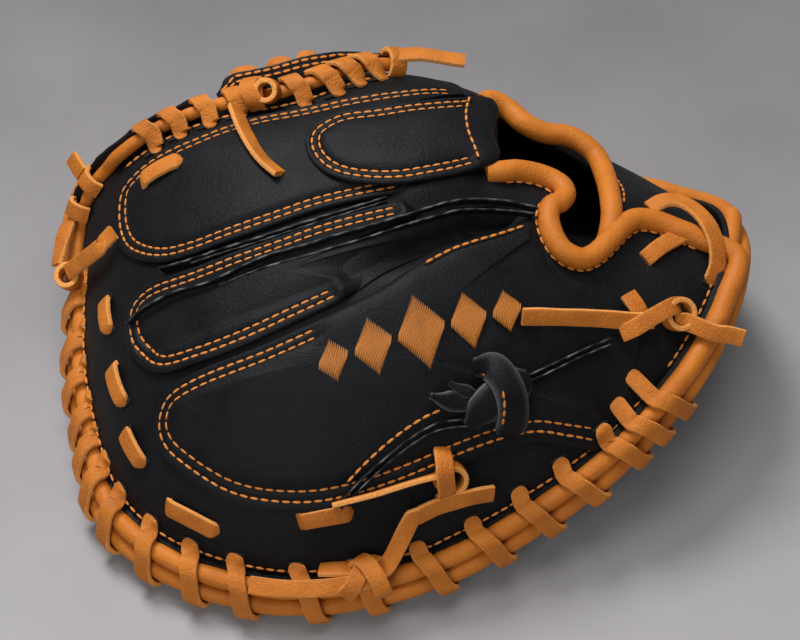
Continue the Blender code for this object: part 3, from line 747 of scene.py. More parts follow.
# %% [markdown]
# ## The sewn panels
#
# Three padded panels cover the fingers, and a tongue shaped tab lies over the upper one. Each
# is cut from thick hide, laid on the back over felt, and sewn down with two rows of thread. The
# thread pulls the leather into two shallow channels, and the felt swells inside them. So rings
# run inward from the cut edge, each at its own depth and height.
#
# A panel isn't sewn all the way round. Each point of an outline has a style after its u and v:
# 0 is the sewn cut edge, 1 a soft folded edge, and 2 leather that fades into the back. The web's
# panel lies on the far wall, so its points are degrees and hundredths down that wall.

# %% Cut the panels
UPPER_PANEL = (
    (-43.9, 13.6, 0), (-43.4, 16.6, 0), (-41.0, 18.5, 0), (-37.0, 19.8, 0), (-31.5, 20.7, 0),
    (-24.3, 22.1, 0), (-16.5, 23.1, 0), (-9.8, 24.4, 0), (-2.0, 26.2, 0), (4.4, 27.9, 0),
    (8.0, 28.8, 2), (12.2, 29.4, 2),
    (12.4, 21.4, 2), (12.0, 12.9, 2), (8.9, 9.4, 2), (3.9, 7.4, 2), (0.6, 6.0, 1.6),
    (-3.0, 5.2, 0), (-11.8, 3.4, 0), (-20.4, 1.2, 0), (-30.4, -0.3, 0), (-36.4, 0.7, 0),
    (-41.2, 4.6, 0), (-43.4, 9.3, 0),
)
UPPER_CENTRE = (-16.0, 14.0)
MIDDLE_PANEL = (
    (-41.1, -6.1, 0), (-40.2, -3.4, 0), (-37.1, -2.2, 0), (-30.4, -2.5, 0), (-20.4, -1.0, 0),
    (-11.8, 1.4, 0), (-3.6, 3.5, 0), (-0.6, 4.3, 1.6), (4.0, 5.2, 2), (9.0, 5.6, 2), (15.7, 5.0, 2),
    (10.0, 0.6, 2), (3.0, -2.6, 2), (-4.0, -6.6, 2), (-8.6, -9.9, 1.3), (-11.0, -11.2, 0),
    (-16.0, -13.2, 0), (-23.0, -15.4, 0), (-29.6, -16.3, 0), (-35.7, -15.6, 0), (-40.0, -10.9, 0),
)
MIDDLE_CENTRE = (-18.0, -6.4)
LOWER_PANEL = (
    (-36.2, -22.6, 0), (-35.6, -19.9, 0), (-33.0, -18.0, 0), (-22.5, -16.2, 0), (-15.6, -14.2, 0),
    (-11.0, -12.2, 1), (-5.0, -9.4, 1), (0.0, -6.0, 1), (5.0, -2.8, 1), (10.7, -0.2, 1.05),
    (16.6, 3.0, 1.2), (18.2, -0.6, 1.4), (20.2, -3.6, 1.6), (24.2, -4.2, 1.8), (29.0, -4.0, 2),
    (32.4, -8.6, 2), (31.4, -14.4, 2), (29.2, -19.4, 2), (27.4, -22.4, 0.6),
    (22.5, -23.2, 0), (17.4, -23.6, 0), (12.2, -25.2, 0),
    (6.5, -27.6, 0), (1.0, -30.0, 0), (-4.6, -31.9, 0), (-10.1, -33.3, 0), (-15.6, -33.8, 0),
    (-21.2, -33.2, 0), (-25.5, -32.0, 0), (-29.4, -30.0, 0), (-33.0, -27.4, 0), (-35.2, -25.2, 0),
)
LOWER_CENTRE = (-3.4, -17.4)
TAB_PAD = (
    (-15.2, 14.6, 0), (-14.2, 17.2, 0), (-10.6, 19.7, 0), (-6.2, 20.4, 0), (-2.8, 20.9, 0),
    (2.7, 22.2, 0), (6.4, 23.6, 0), (9.1, 25.0, 0.9), (11.2, 24.9, 1), (12.0, 22.4, 1),
    (11.4, 19.2, 1), (11.4, 16.2, 1), (12.2, 13.6, 1), (11.6, 11.2, 1), (10.0, 10.1, 0.9),
    (8.0, 9.0, 0), (4.9, 7.6, 0), (0.5, 6.3, 0), (-4.1, 5.8, 0), (-8.7, 6.5, 0),
    (-12.0, 8.2, 0), (-14.4, 11.2, 0),
)
TAB_CENTRE = (-1.6, 14.0)
WEB_PANEL = (
    (74, 66, 0), (92, 70, 0), (110, 62, 0), (128, 60, 0), (139, 70, 0), (143, 80, 0), (143, 89, 0),
    (130, 91, 0), (110, 91, 0), (92, 91, 0), (74, 91, 0), (70, 79, 0),
)
WEB_CENTRE = (107, 78)
print("points in the outlines:", [len(points) for points in (
    UPPER_PANEL, MIDDLE_PANEL, LOWER_PANEL, TAB_PAD, WEB_PANEL)])

# %% [markdown]
# ## Padding a panel
#
# A panel's height is a profile across its edge, written as rings. The first two rings are the
# cut edge itself, then come the two channels where the thread pulls the leather down, and then
# the felt. From the last ring the leather rises in a smooth crown to the middle.

# %% Pad one panel
# Depth from the cut edge in millimetres, then height sewn, folded and faded, and rawness
EDGE_RINGS = (
    (0.00, 0.10, 0.10, -0.70, 0.10), (0.00, 1.25, 0.90, -0.68, 0.26),
    (0.22, 1.75, 1.60, -0.84, 0.20), (0.60, 1.95, 2.20, -0.81, 0.05),
    (1.30, 2.05, 2.90, -0.76, 0.0), (2.00, 1.85, 3.30, -0.71, 0.0),
    (2.60, 1.35, 3.60, -0.66, 0.0), (3.20, 1.85, 3.80, -0.61, 0.0),
    (3.95, 2.10, 4.00, -0.54, 0.0), (4.70, 1.90, 4.10, -0.47, 0.0),
    (5.30, 1.40, 4.20, -0.41, 0.0), (5.90, 2.05, 4.25, -0.34, 0.0),
    (6.80, 2.75, 4.30, -0.24, 0.0), (8.20, 3.35, 4.35, -0.06, 0.0),
)
# The powers of the crown over a sewn, a folded and a faded edge
CROWN_POWERS = (3.4, 3.0, 1.7)
MILLIMETRE = 0.001
UNDERSIDE = 0.0001
UNDER_RINGS = 6
CROWN_RINGS = 20
OUTLINE_STEP = 0.45
UNIT = step(1.0, 0.0).x
WEB_UNIT = 0.0024
WEB_STEP = 0.9


def outline_of(points, spacing=OUTLINE_STEP):
    return smooth_path([Vector(point) for point in points], spacing, closed=True)


def inward(corners, depth):
    """The closed outline moved inward by a depth, both in hundredths, and smoothed a little."""
    area = sum(a.x * b.y - b.x * a.y for a, b in zip(corners, corners[1:] + corners[:1]))
    turn = depth if area > 0 else -depth
    moved = []
    neighbours = zip(corners[-1:] + corners[:-1], corners, corners[1:] + corners[:1])
    for before, here, after in neighbours:
        along = Vector((after.x - before.x, after.y - before.y, 0.0)).normalized()
        moved.append(here + Vector((-along.y, along.x, 0.0)) * turn)
    for sweep in range(int(4 * depth)):
        moved = [0.25 * before + 0.5 * here + 0.25 * after for before, here, after
                 in zip(moved[-1:] + moved[:-1], moved, moved[1:] + moved[:1])]
    return moved


def styled(style, sewn, folded, faded):
    """The mix of the three heights that a style asks for."""
    if style < 1.0:
        part = ease(style)
        return sewn + (folded - sewn) * part
    part = ease(style - 1.0)
    return folded + (faded - folded) * part


def pad(name, points, centre, place, base, nodes, unit=UNIT, spacing=OUTLINE_STEP):
    """A sewn pad: a cut edge, two stitched channels, and felt that swells to the middle."""
    corners = outline_of(points, spacing)
    middle = Vector((*centre, 0.0))
    across = len(corners)
    rings = []
    for count in range(UNDER_RINGS + 1):
        share = count / UNDER_RINGS
        ring = [middle + (corner - middle) * share for corner in corners]
        rings.append((ring, [UNDERSIDE] * across, 0.0))
    for depth, sewn, folded, faded, raw in EDGE_RINGS:
        ring = inward(corners, MILLIMETRE * depth / unit)
        rings.append((ring, [MILLIMETRE * styled(p.z, sewn, folded, faded) for p in ring], raw))
    last, lifts, raw = rings[-1]
    top = PANEL_EDGE + PANEL_CROWN
    for count in range(1, CROWN_RINGS + 1):
        share = 1.0 - count / CROWN_RINGS
        highs = [lift + (top - lift) * (1.0 - share ** styled(p.z, *CROWN_POWERS))
                 for lift, p in zip(lifts, last)]
        rings.append(([middle + (corner - middle) * share for corner in last], highs, 0.0))

    def spot(column, row):
        ring, highs, raw = rings[row]
        corner = ring[column % across]
        return place(corner.x, corner.y, base + highs[column % across])

    def cut(column, row):
        ring, highs, raw = rings[row]
        return raw * (1.0 - ease(ring[column % across].z))

    mesh = grid(across, len(rings) - 1, spot, cut)
    made = add_piece(name, mesh, [BLACK_HIDE], nodes)
    return made


print("rings across a panel:", UNDER_RINGS + len(EDGE_RINGS) + CROWN_RINGS)

# %% [markdown]
# ## The middle panel's step
#
# The middle panel is two layers. The upper one is cut off along a raw edge, and below that edge
# the panel steps down by the thickness of the hide. The other panels lie straight on the back.

# %% Sew on the panels
# The raw edge that steps down across the middle panel, and the second layer under it
STRIP_EDGE = (
    (-39.9, -7.0), (-37.4, -6.1), (-33.3, -5.8), (-29.1, -6.1), (-26.2, -5.7),
    (-20.4, -4.1), (-14.4, -3.0), (-10.3, -1.8), (-5.5, -0.4), (-0.9, 1.2),
    (2.9, 2.7), (5.6, 3.7), (9.2, 4.5), (13.2, 5.0), (17.4, 4.9),
)
STRIP_UNDER = (
    (-27.0, -6.5), (-20.0, -5.2), (-14.9, -4.3), (-10.4, -3.1), (-5.8, -1.7), (-1.3, 0.0),
    (3.6, 1.8), (6.5, 2.9), (10.4, 3.6), (14.4, 4.2), (17.2, 4.4),
)
STRIP_STEP = 0.0026
# Where the step runs out again towards the panel's lower edge
STEP_FOOT = ((-40, -13.5), (-30, -14.2), (-20, -12.6), (-10, -9.6), (0, -4.0))


def line_height(line, u):
    """The v of a line at this u."""
    for (a, b), (c, d) in zip(line, line[1:]):
        if u <= c:
            return b + (d - b) * max(u - a, 0.0) / (c - a)
    return line[-1][1]


def on_middle(u, v, lift):
    """The middle panel steps down below its raw edge and follows the fold at its end."""
    below = ease((line_height(STRIP_EDGE, u) - v) / 0.5 + 0.3) * ease((u + 40.0) / 3.0)
    bottom = ease((v - line_height(STEP_FOOT, u)) / 2.0)
    sunk = STRIP_STEP * below * bottom * min(lift / 0.002, 1.0)
    return on_back(u, v, lift - sunk - fold(u, v))


panels = [
    pad("panel_upper", UPPER_PANEL, UPPER_CENTRE, on_back, PANEL_GAP, ["finger_panel_upper"]),
    pad("panel_middle", MIDDLE_PANEL, MIDDLE_CENTRE, on_middle, PANEL_GAP, ["finger_panel_middle"]),
    pad("panel_lower", LOWER_PANEL, LOWER_CENTRE, on_back, PANEL_GAP, ["finger_panel_lower"]),
    pad("tab_leather", TAB_PAD, TAB_CENTRE, on_back, panel_top(), ["index_pad"]),
    pad("web_leather", WEB_PANEL, WEB_CENTRE, on_wall, PANEL_GAP, ["web_panel"],
        WEB_UNIT, WEB_STEP),
]
print("panels:", [len(made.data.polygons) for made in panels])

# %% [markdown]
# ## The rolls
#
# A roll is a strip of tan hide wound round a cord. It creases a little, and it is pinched where
# a lace is drawn tight round it. Each roll is a round section pulled along its line, and the
# radius shrinks near the points where laces cross.

# %% Wind the rolls
EDGE_LACE_DEGREES = (
    -178, -169.5, -162.5, -155.5, -150, -144, -138, -130.5, -123, -115.5,
    -105.5, -96.5, -85, -74, -63.5, -54, -44.5, -39, -33.5,
)
TOP_LACE_PLACES = (13, 23, 33, 44, 63, 72, 80, 88)
CREST_KNOT_PLACE = 53
CREST_SLIM = 0.74
CREST_BEGINS = 0.62
PINCH_DEPTH = 0.13
PINCH_REACH = 0.0046
ROLL_SIDES = 24


def round_section(diameter, pinches, seed=0.0, thick=0.0, creases=0.4, slim=1.0):
    """A roll's section: thick is how much fatter it starts, slim its share along the crest."""
    def section(distance, whole, point):
        near = min(((point - pinch).length for pinch in pinches), default=1.0)
        squeeze = PINCH_DEPTH * math.exp(-(near / PINCH_REACH) ** 2)
        squeeze += (1.0 - slim) * ease((distance / whole - CREST_BEGINS) / 0.06)
        swollen = 0.03 * noise.noise(point * 110.0 + Vector((seed, 0.0, 0.0)))
        fat = thick * (1.0 - ease(distance / 0.045))
        crack = noise.noise(Vector((distance * 300.0, seed, 0.0)))
        crease = creases * 0.05 * max(crack - 0.15, 0.0)
        ring = []
        for k in range(ROLL_SIDES):
            turn = math.tau * k / ROLL_SIDES
            side = Vector((math.cos(turn), math.sin(turn), seed))
            lump = 0.014 * noise.noise(point * 380.0 + side)
            dent = crease * (1.0 + 1.4 * math.cos(turn + 7.0 * seed))
            radius = 0.5 * diameter * (1.0 - squeeze + swollen + lump + fat - dent)
            ring.append((radius * math.cos(turn), radius * math.sin(turn), 0.0))
        return ring
    return section


def crest_line():
    lift = 0.5 * ROLL_DIAMETER + FIT_GAP
    return [on_back(u, v, lift) for u, v in CREST]


def corner_line():
    """The roll's climb from the rim to the crest, drawn in a little as the rim is."""
    lift = 0.5 * ROLL_DIAMETER - 0.6 * ROLL_TUCK
    return [on_wall(degrees, down, lift) for degrees, down in CORNER]


def facing(place, u, v):
    """The direction that the surface of on_back, on_wall or on_middle faces at a point."""
    return (place(u, v, 1.0) - place(u, v, 0.0)).normalized()


def off_back(u, v):
    return facing(on_back, u, v)


def off_wall(degrees, down):
    return facing(on_wall, degrees, down)


def crest_frame(place):
    """A point of the top edge's roll, with the ways along it, off the back and to the near side."""
    line = smooth_path(crest_line(), 0.002)
    index = min(max(round(0.01 * place * (len(line) - 1)), 1), len(line) - 2)
    along = (line[index + 1] - line[index - 1]).normalized()
    spot = line[index]
    off = off_back(*pattern_point(spot))
    near = along.cross(off).normalized()
    return spot, along, off, near


def rim_rows(degrees, out, up):
    """Rows on a line beside the rim, each facing up."""
    rows = []
    for turn in degrees:
        edge, along, outward, upward = rim_frame(math.radians(turn))
        rows.append((edge + outward * out + upward * up, upward))
    return rows


RIM_STEP = 2.5
ALL_ROUND = [RIM_STEP * k for k in range(144)]
ROLL_STEP = 0.0012


def make_rim_rolls():
    out, up = upper_roll_place()
    pinches = [rim_point(degrees, out, up) for degrees in EDGE_LACE_DEGREES]
    pinches += [crest_frame(place)[0] for place in TOP_LACE_PLACES + (CREST_KNOT_PLACE,)]
    rows = rim_rows([-32.5 - RIM_STEP * k for k in range(63)], out, up)
    rows += [(spot, off_wall(*place)) for spot, place in zip(corner_line(), CORNER)]
    rows += [(spot, off_back(*place)) for spot, place in zip(crest_line(), CREST)]
    section = round_section(ROLL_DIAMETER, pinches, slim=CREST_SLIM)
    mesh = skin(smooth_rows(rows, ROLL_STEP), section)
    rim = add_piece("roll_back", mesh, [TAN_HIDE], ["back_roll"])
    rows = rim_rows([-9.0, -5.0], out - 0.003, up - 0.003)
    rows += rim_rows([RIM_STEP * k for k in range(1, 66)], out, up)
    mesh = skin(smooth_rows(rows, ROLL_STEP), round_section(ROLL_DIAMETER, [], 3.0))
    thumb = add_piece("roll_thumb", mesh, [TAN_HIDE], ["thumb_roll"])
    out, up = lower_roll_place()
    pinches = [rim_point(degrees, out, up) for degrees in EDGE_LACE_DEGREES]
    rows = smooth_rows(rim_rows(ALL_ROUND, out, up), ROLL_STEP, True)
    mesh = skin(rows, round_section(ROLL_DIAMETER, pinches, 7.0), True)
    palm = add_piece("roll_palm", mesh, [TAN_HIDE], ["palm_roll"])
    return rim, thumb, palm


# The far wrist roll's line, as pattern points and the lift of its middle
FAR_ROLL = (
    (10.4, 26.4, 0.0014), (11.4, 27.2, 0.0030), (13.8, 26.4, 0.0030), (16.4, 24.0, 0.0030),
    (19.4, 23.2, 0.0032), (22.2, 23.0, 0.0058), (24.8, 22.0, 0.0062), (26.9, 20.2, 0.0050),
    (28.2, 16.5, 0.0030), (28.6, 11.6, 0.0030), (28.8, 7.6, 0.0022), (28.6, 4.6, 0.0000),
    (28.2, 3.0, -0.0030),
)


def make_wrist_rolls():
    """The thick rolls round the hand hole: their ends go under the tab and under each other."""
    lift = 0.30 * WRIST_ROLL_DIAMETER
    rows = [(on_back(10.6, 10.6, 0.5 * lift), off_back(10.6, 10.6))]
    rows += [(on_back(u, v, lift), off_back(u, v)) for u, v in NEAR_LIP + NEAR_LIP_TO_HEEL]
    heel_out, heel_up = heel_roll_place()
    rows += rim_rows(HEEL_ROLL_DEGREES[:-1], heel_out, heel_up)
    out, up = upper_roll_place()
    rows += rim_rows([-27.0], 0.6 * heel_out + 0.4 * out, 0.7 * heel_up + 0.3 * up)
    rows += rim_rows([-31.0, -33.0], out, up)
    mesh = skin(smooth_rows(rows, 0.001), round_section(WRIST_ROLL_DIAMETER, [], 11.0, 0.0, 1.0))
    near = add_piece("roll_wrist_near", mesh, [TAN_HIDE], ["wrist_roll_near"])
    rows = [(on_back(u, v, high), off_back(u, v)) for u, v, high in FAR_ROLL]
    mesh = skin(smooth_rows(rows, 0.001), round_section(WRIST_ROLL_DIAMETER, [], 13.0, 0.10, 1.4))
    far = add_piece("roll_wrist_far", mesh, [TAN_HIDE], ["wrist_roll_far"])
    return near, far


rolls = [*make_rim_rolls(), *make_wrist_rolls()]
print("rolls:", [len(made.data.polygons) for made in rolls])

# %% [markdown]
# ## The binding
#
# Behind the rolls a narrow strip of black hide binds the back to the palm, all the way round.
# It is what shows, dark, between the rolls and the back. A second strip climbs with the roll at
# the fingertips, and its edge is ragged from wear.

# %% Bind the rim
def strip_section(width, height):
    a, b = 0.5 * width, 0.5 * height
    ring = [(x, y, 0.0) for x, y in ((a, -b), (a, 0.0), (a, b), (-a, b), (-a, 0.0), (-a, -b))]
    return lambda distance, whole, point: ring


def joined(meshes):
    """Several bmeshes gathered into the first one."""
    whole = bmesh.new()
    for mesh in meshes:
        data = bpy.data.meshes.new("part")
        mesh.to_mesh(data)
        mesh.free()
        whole.from_mesh(data)
        bpy.data.meshes.remove(data)
    return whole


def turned(first, second, degrees):
    """A direction part of the way round from the first to the second."""
    return first * math.cos(math.radians(degrees)) + second * math.sin(math.radians(degrees))


def corner_row(row, turn, around):
    """A row on a turn round the roll where it climbs, at a distance from its middle."""
    line = corner_line()
    off = off_wall(*CORNER[row])
    near = (line[row + 1] - line[row - 1]).cross(off).normalized()
    away = turned(near, off, turn)
    return line[row] + away * around, away


def ragged_section(width, height):
    def section(distance, whole, point):
        a = 0.5 * width
        top = 0.5 * height * (1.0 + 0.35 * noise.noise(point * 150.0))
        return [(a, -0.5 * height, 0.0), (a, 0.6 * top, 0.0), (0.6 * a, top, 0.25),
                (-0.6 * a, top, 0.25), (-a, 0.6 * top, 0.0), (-a, -0.5 * height, 0.0)]
    return section


def make_binding():
    rows = rim_rows(ALL_ROUND, -0.0002, -0.0014)
    mesh = skin(smooth_rows(rows, 0.002, True), strip_section(0.0022, 0.0150), True)
    corner = []
    for row in range(1, len(CORNER) - 1):
        spot, away = corner_row(row, 165, 0.0006)
        corner.append((spot + away * 0.5 * ROLL_DIAMETER, corner_row(row, 90, 1.0)[1]))
    for place in (1, 6, 12, 18, 24, 30):
        spot, along, off, near = crest_frame(place)
        corner.append((spot - near * 0.5 * ROLL_DIAMETER, off))
    edge = skin(smooth_rows(corner, 0.001), ragged_section(0.0018, 0.0082))
    return add_piece("rim_binding", joined([mesh, edge]), [BLACK_HIDE])


binding = make_binding()
print("binding:", len(binding.data.polygons), "faces")

# %% [markdown]
# ## The laces
#
# A lace is a flat strip of rawhide, 7 mm wide and 2 mm thick, with crisp corners and pale cut
# edges. Each wrap comes up through a slit in the back, winds over both rolls and goes in under
# the palm. The strip's section has small bevels and a crowned face, its width wanders a little,
# as hand cut lace does, and its end is rounded where it dives into a slit. One wrap comes up
# through the lower panel, so it starts higher.

# %% Lace the rim
LACE_STEP = 0.0007
LACE_END = 0.0030


def lace_section(seed, tucks):
    """A lace's section: tucks says whether its start and its end are rounded to fit a slit."""
    b = 0.5 * LACE_THICKNESS
    r = 0.17 * LACE_THICKNESS
    crown = 0.07 * LACE_THICKNESS

    def section(distance, whole, point):
        wander = 1.0 + 0.05 * noise.noise(Vector((distance * 90.0, seed, 0.0)))
        for tucked, way in zip(tucks, (distance, whole - distance)):
            if tucked:
                wander *= math.sqrt(max(1.0 - (1.0 - min(way / LACE_END, 1.0)) ** 2, 0.10))
        a = 0.5 * LACE_WIDTH * wander
        half = [(a, 0.0, 0.9), (a, b - r, 1.0), (a - 0.3 * r, b - 0.3 * r, 0.7), (a - r, b, 0.2),
                (0.6 * a, b + 0.6 * crown, 0.0), (0.2 * a, b + crown, 0.0)]
        top = half + [(-x, y, raw) for x, y, raw in reversed(half[1:])]
        under = [(-a, 0.0, 0.9), (-a, r - b, 1.0), (0.3 * r - a, 0.3 * r - b, 0.8),
                 (r - a, -b, 0.5), (0.0, -b, 0.4), (a - r, -b, 0.5),
                 (a - 0.3 * r, 0.3 * r - b, 0.8), (a, r - b, 1.0)]
        return top + under
    return section


def rim_row(degrees, place, turn, around):
    """A row on a turn round one of the rim's rolls, at a distance from its middle."""
    edge, along, outward, upward = rim_frame(math.radians(degrees))
    away = turned(outward, upward, turn)
    return edge + outward * place[0] + upward * place[1] + away * around, away


def back_row(u, v, lift, lean=(0.0, 0.0, 0.0)):
    return on_back(u, v, lift), (off_back(u, v) + Vector(lean)).normalized()


def back_rows(*spots, lean=(0.0, 0.0, 0.0)):
    """Rows over the back through a few spots, each a pattern point and a lift."""
    scale = 0.01 * MITT_LENGTH
    points = [Vector((u, v, lift / scale)) for u, v, lift in spots]
    line = smooth_path(points, 0.35 * LACE_WIDTH / scale)
    return [back_row(p.x, p.y, p.z * scale, lean) for p in line]


def lace_mesh(rows, seed, tucks=(False, False)):
    return skin(smooth_rows(rows, LACE_STEP), lace_section(seed, tucks))


def lay(name, rows, nodes, seed, tucks=(False, False)):
    return add_piece(name, lace_mesh(rows, seed, tucks), [TAN_RAWHIDE], nodes)


# Each slit is a spot, the direction it faces and the way the lace leaves it
slits = []
LACES_OVER_PANEL = (17,)
PANEL_LIFT = 0.0050


def make_edge_laces():
    around = round_roll(ROLL_DIAMETER)
    upper, lower = upper_roll_place(), lower_roll_place()
    turns = [(upper, 112, -0.42), (upper, 80, -0.2), (upper, 50, 0.0), (upper, 15, 0.25),
             (lower, 25, 0.55), (lower, -15, 0.85), (lower, -60, 1.15), (lower, -105, 1.35),
             (lower, -150, 1.5)]
    laces = []
    for number, degrees in enumerate(EDGE_LACE_DEGREES, 1):
        slant = math.degrees(LACE_SLANT / rim_ray(math.radians(degrees)).length)
        sway = noise.noise(Vector((7.3 * number, 0.0, 0.0)))
        rise = upper[1] + 0.5 * ROLL_DIAMETER + LACE_RISE * (0.62 + 0.26 * sway)
        rows = []
        over = PANEL_LIFT if number in LACES_OVER_PANEL else 0.0
        for down, lift, shift in ((0.0, over - 0.0006, -0.98), (0.0014, over + 0.0009, -0.92)):
            angle = math.radians(degrees + slant * shift)
            share = wall_share(angle, rise - down)
            normal = back_normal(angle, share)
            rows.append((back(angle, share) + normal * lift, normal))
        slits.append((rows[0][0] + rows[0][1] * 0.0008, rows[0][1], rows[1][0] - rows[0][0]))
        rows += [rim_row(degrees + slant * shift, place, turn, around)
                 for place, turn, shift in turns]
        name = f"lace_rim_{number:02d}"
        laces.append(lay(name, rows, [f"edge_lace_{number:02d}"], float(number), (True, True)))
    return laces


edge_laces = make_edge_laces()
print("laces round the rim:", len(edge_laces))

# %% [markdown]
# ## The top edge's laces
#
# Shorter laces go over the roll on the top edge and down behind it, into the web.

# %% Lace the top edge
def crest_row(place, turn, around):
    spot, along, off, near = crest_frame(place)
    away = turned(near, off, turn)
    return spot + away * around, away


def make_top_laces():
    around = round_roll(CREST_SLIM * ROLL_DIAMETER)
    laces = []
    for number, place in enumerate(TOP_LACE_PLACES, 1):
        spot, along, off, near = crest_frame(place)
        sway = noise.noise(Vector((3.1 * number, 5.0, 0.0)))
        reach = around + 0.55 * LACE_RISE * (1.0 + 0.25 * sway)
        rows = []
        for out, high in ((reach + 0.0010, -0.0004), (reach - 0.0002, 0.0012)):
            u, v = pattern_point(spot + near * out)
            rows.append((on_back(u, v, high), off_back(u, v)))
        slits.append((rows[1][0] - rows[1][1] * 0.0006, rows[1][1], near * -1.0))
        rows += [crest_row(place, turn, around) for turn in (18, 45, 80, 115, 150, 175)]
        last = len(rows) - 1
        rows = [(point + along * LACE_SLANT * (1.0 - 2.0 * i / last), face)
                for i, (point, face) in enumerate(rows)]
        name = f"lace_top_{number:02d}"
        laces.append(lay(name, rows, [f"top_lace_{number:02d}"], 20.0 + number, (True, True)))
    return laces


top_laces = make_top_laces()
print("laces on the top edge:", len(top_laces))

# %% [markdown]
# ## The web's band
#
# Behind the top edge's roll stands the web: a band of black hide with two rows of thread, and
# over its far edge the next row of laces shows. The band is a strip on edge that follows the
# roll, a little behind it, and leans back.

# %% Stand the web's band up
BAND_PLACES = (38, 99)
BAND_HEIGHT = 0.0102
BAND_HALF = 0.0012
BAND_STEP = 0.001


def band_frame(place):
    """The band's foot, with the ways along it, up its leaning side and out of its front."""
    spot, along, off, near = crest_frame(place)
    lean = (off * 0.80 - near * 0.60).normalized()
    front = lean.cross(along).normalized()
    if front.y > 0.0:
        front = -front
    return spot - near * 0.0030, along, lean, front


def band_top(place):
    """The band's height, which fades in at its left end and sinks to the right."""
    share = (place - BAND_PLACES[0]) / (BAND_PLACES[1] - BAND_PLACES[0])
    risen = BAND_HEIGHT * (0.35 + 0.65 * ease(share / 0.10))
    return risen * (1.0 - 0.55 * ease((share - 0.45) / 0.55))


def make_web_band():
    rows = []
    for place in range(BAND_PLACES[0], BAND_PLACES[1] + 1, 3):
        foot, along, lean, front = band_frame(place)
        rows.append((foot + lean * 0.5 * band_top(place), lean))
    first, last = BAND_PLACES

    def section(distance, whole, point):
        half = 0.5 * band_top(first + (last - first) * distance / whole)
        ragged = 0.0003 * noise.noise(point * 260.0)
        side = [(BAND_HALF, -half - 0.003, 0.0), (BAND_HALF, 0.0, 0.0),
                (BAND_HALF, half - 0.0004 + ragged, 0.15), (0.0008, half + ragged, 0.6)]
        return side + [(-x, y, raw) for x, y, raw in reversed(side)]

    mesh = skin(smooth_rows(rows, BAND_STEP), section)
    return add_piece("web_band", mesh, [BLACK_HIDE])


# Where each lace of the web comes up and goes down, and how far it rises over the band's edge
WEB_LACES = ((40, 50), (54, 63), (68, 76))
WEB_LACE_RISE = ((0.0, -0.0060), (0.12, -0.0022), (0.35, 0.0006), (0.6, 0.0012),
                 (0.85, -0.0006), (1.0, -0.0060))
WEB_LACE_BEHIND = 0.0048


def make_web_laces():
    laces = []
    for number, (start, end) in enumerate(WEB_LACES, 1):
        rows = []
        for share, rise in WEB_LACE_RISE:
            place = start + (end - start) * share
            foot, along, lean, front = band_frame(place)
            spot = foot + lean * (band_top(place) + rise) - front * WEB_LACE_BEHIND
            rows.append((spot, (lean + front).normalized()))
        laces.append(lay(f"lace_web_{number}", rows, (), 60.0 + number))
    return laces


web_band = make_web_band()
web_laces = make_web_laces()
print("web band:", len(web_band.data.polygons), "faces, laces over it:", len(web_laces))

# %% [markdown]
# ## Short laces through the back
#
# Round the fingertips a flat lace runs in and out of the back. Only short pieces of it show,
# each coming out of one slit and going into the next. The dark of a slit is painted: a flat
# spindle of black under the lace's end, as painted shade.

# %% Run the short laces
RUNNING_LACES = (
    ((-44.9, 0.7), (-44.1, -5.0)),
    ((-43.3, -10.4), (-41.1, -16.8)),
    ((-40.9, -20.1), (-38.2, -25.3)),
    ((-34.6, -30.4), (-27.4, -34.3)),
    ((-15.7, -34.6), (-8.5, -33.6)),
)
PANEL_LACE = ((-38.8, 14.9), (-33.2, 16.0))
# Along a short lace: the share of its length, and how much higher it lies there
SHORT_LACE_LIE = ((0.0, -0.0014), (0.06, 0.0), (0.2, 0.0007), (0.5, 0.0010), (0.8, 0.0005),
                  (0.94, -0.0003), (1.0, -0.0016))
SLIT_LENGTH = 0.0082
SLIT_WIDTH = 0.0026
SLIT_RISE = 0.0004


def placing(across, along, up, spot):
    """The matrix that sets a unit shape on these three half axes, at a spot."""
    return Matrix(((*across, 0.0), (*along, 0.0), (*up, 0.0), (*spot, 1.0))).transposed()


def make_running_laces():
    lie = FIT_GAP + 0.5 * LACE_THICKNESS
    routes = [(start, end, lie) for start, end in RUNNING_LACES]
    routes.append((*PANEL_LACE, panel_top() - 0.5 * PANEL_CROWN + lie))
    laces = []
    for number, (start, end, lift) in enumerate(routes, 1):
        (a, b), (c, d) = start, end
        rows = back_rows(*[(a + (c - a) * share, b + (d - b) * share, lift + extra)
                           for share, extra in SHORT_LACE_LIE])
        along = rows[-1][0] - rows[0][0]
        for u, v, back_way in ((a, b, 1.0), (c, d, -1.0)):
            slits.append((on_back(u, v, lift - lie + 0.0002), off_back(u, v), along * back_way))
        tucks = (number in (1, 3), True)
        nodes = [f"running_lace_{number:02d}"]
        laces.append(lay(f"lace_short_{number}", rows, nodes, 40.0 + number, tucks))
    return laces


def make_slit_shades():
    """Every slit that the laces have asked for so far, in one piece: flat black spindles, painted
    shade in the slits.
    """
    mesh = bmesh.new()
    mesh.verts.layers.float.new("raw")
    for spot, up, way in slits:
        up = up.normalized()
        side = way.cross(up).normalized()
        way = up.cross(side).normalized()
        placed = placing(way * 0.5 * SLIT_WIDTH, side * 0.5 * SLIT_LENGTH, up * SLIT_RISE, spot)
        bmesh.ops.create_uvsphere(mesh, u_segments=14, v_segments=6, radius=1.0, matrix=placed)
    # Black spindles under the lace ends: painted shade in the slits.
    return add_piece("lace_slit_shades", mesh, [HOLE_SHADE_FINISH])


running_laces = make_running_laces()
print("short laces:", len(running_laces))

# %% [markdown]
# ## The raw seams
#
# Between the panels the edges of the leather stand up raw, trimmed with a knife. They are thin
# black strips with a pale, fibrous top. Their height and line waver, as a knife does. Two
# layers of hide meet at each seam, so two strips lie side by side.

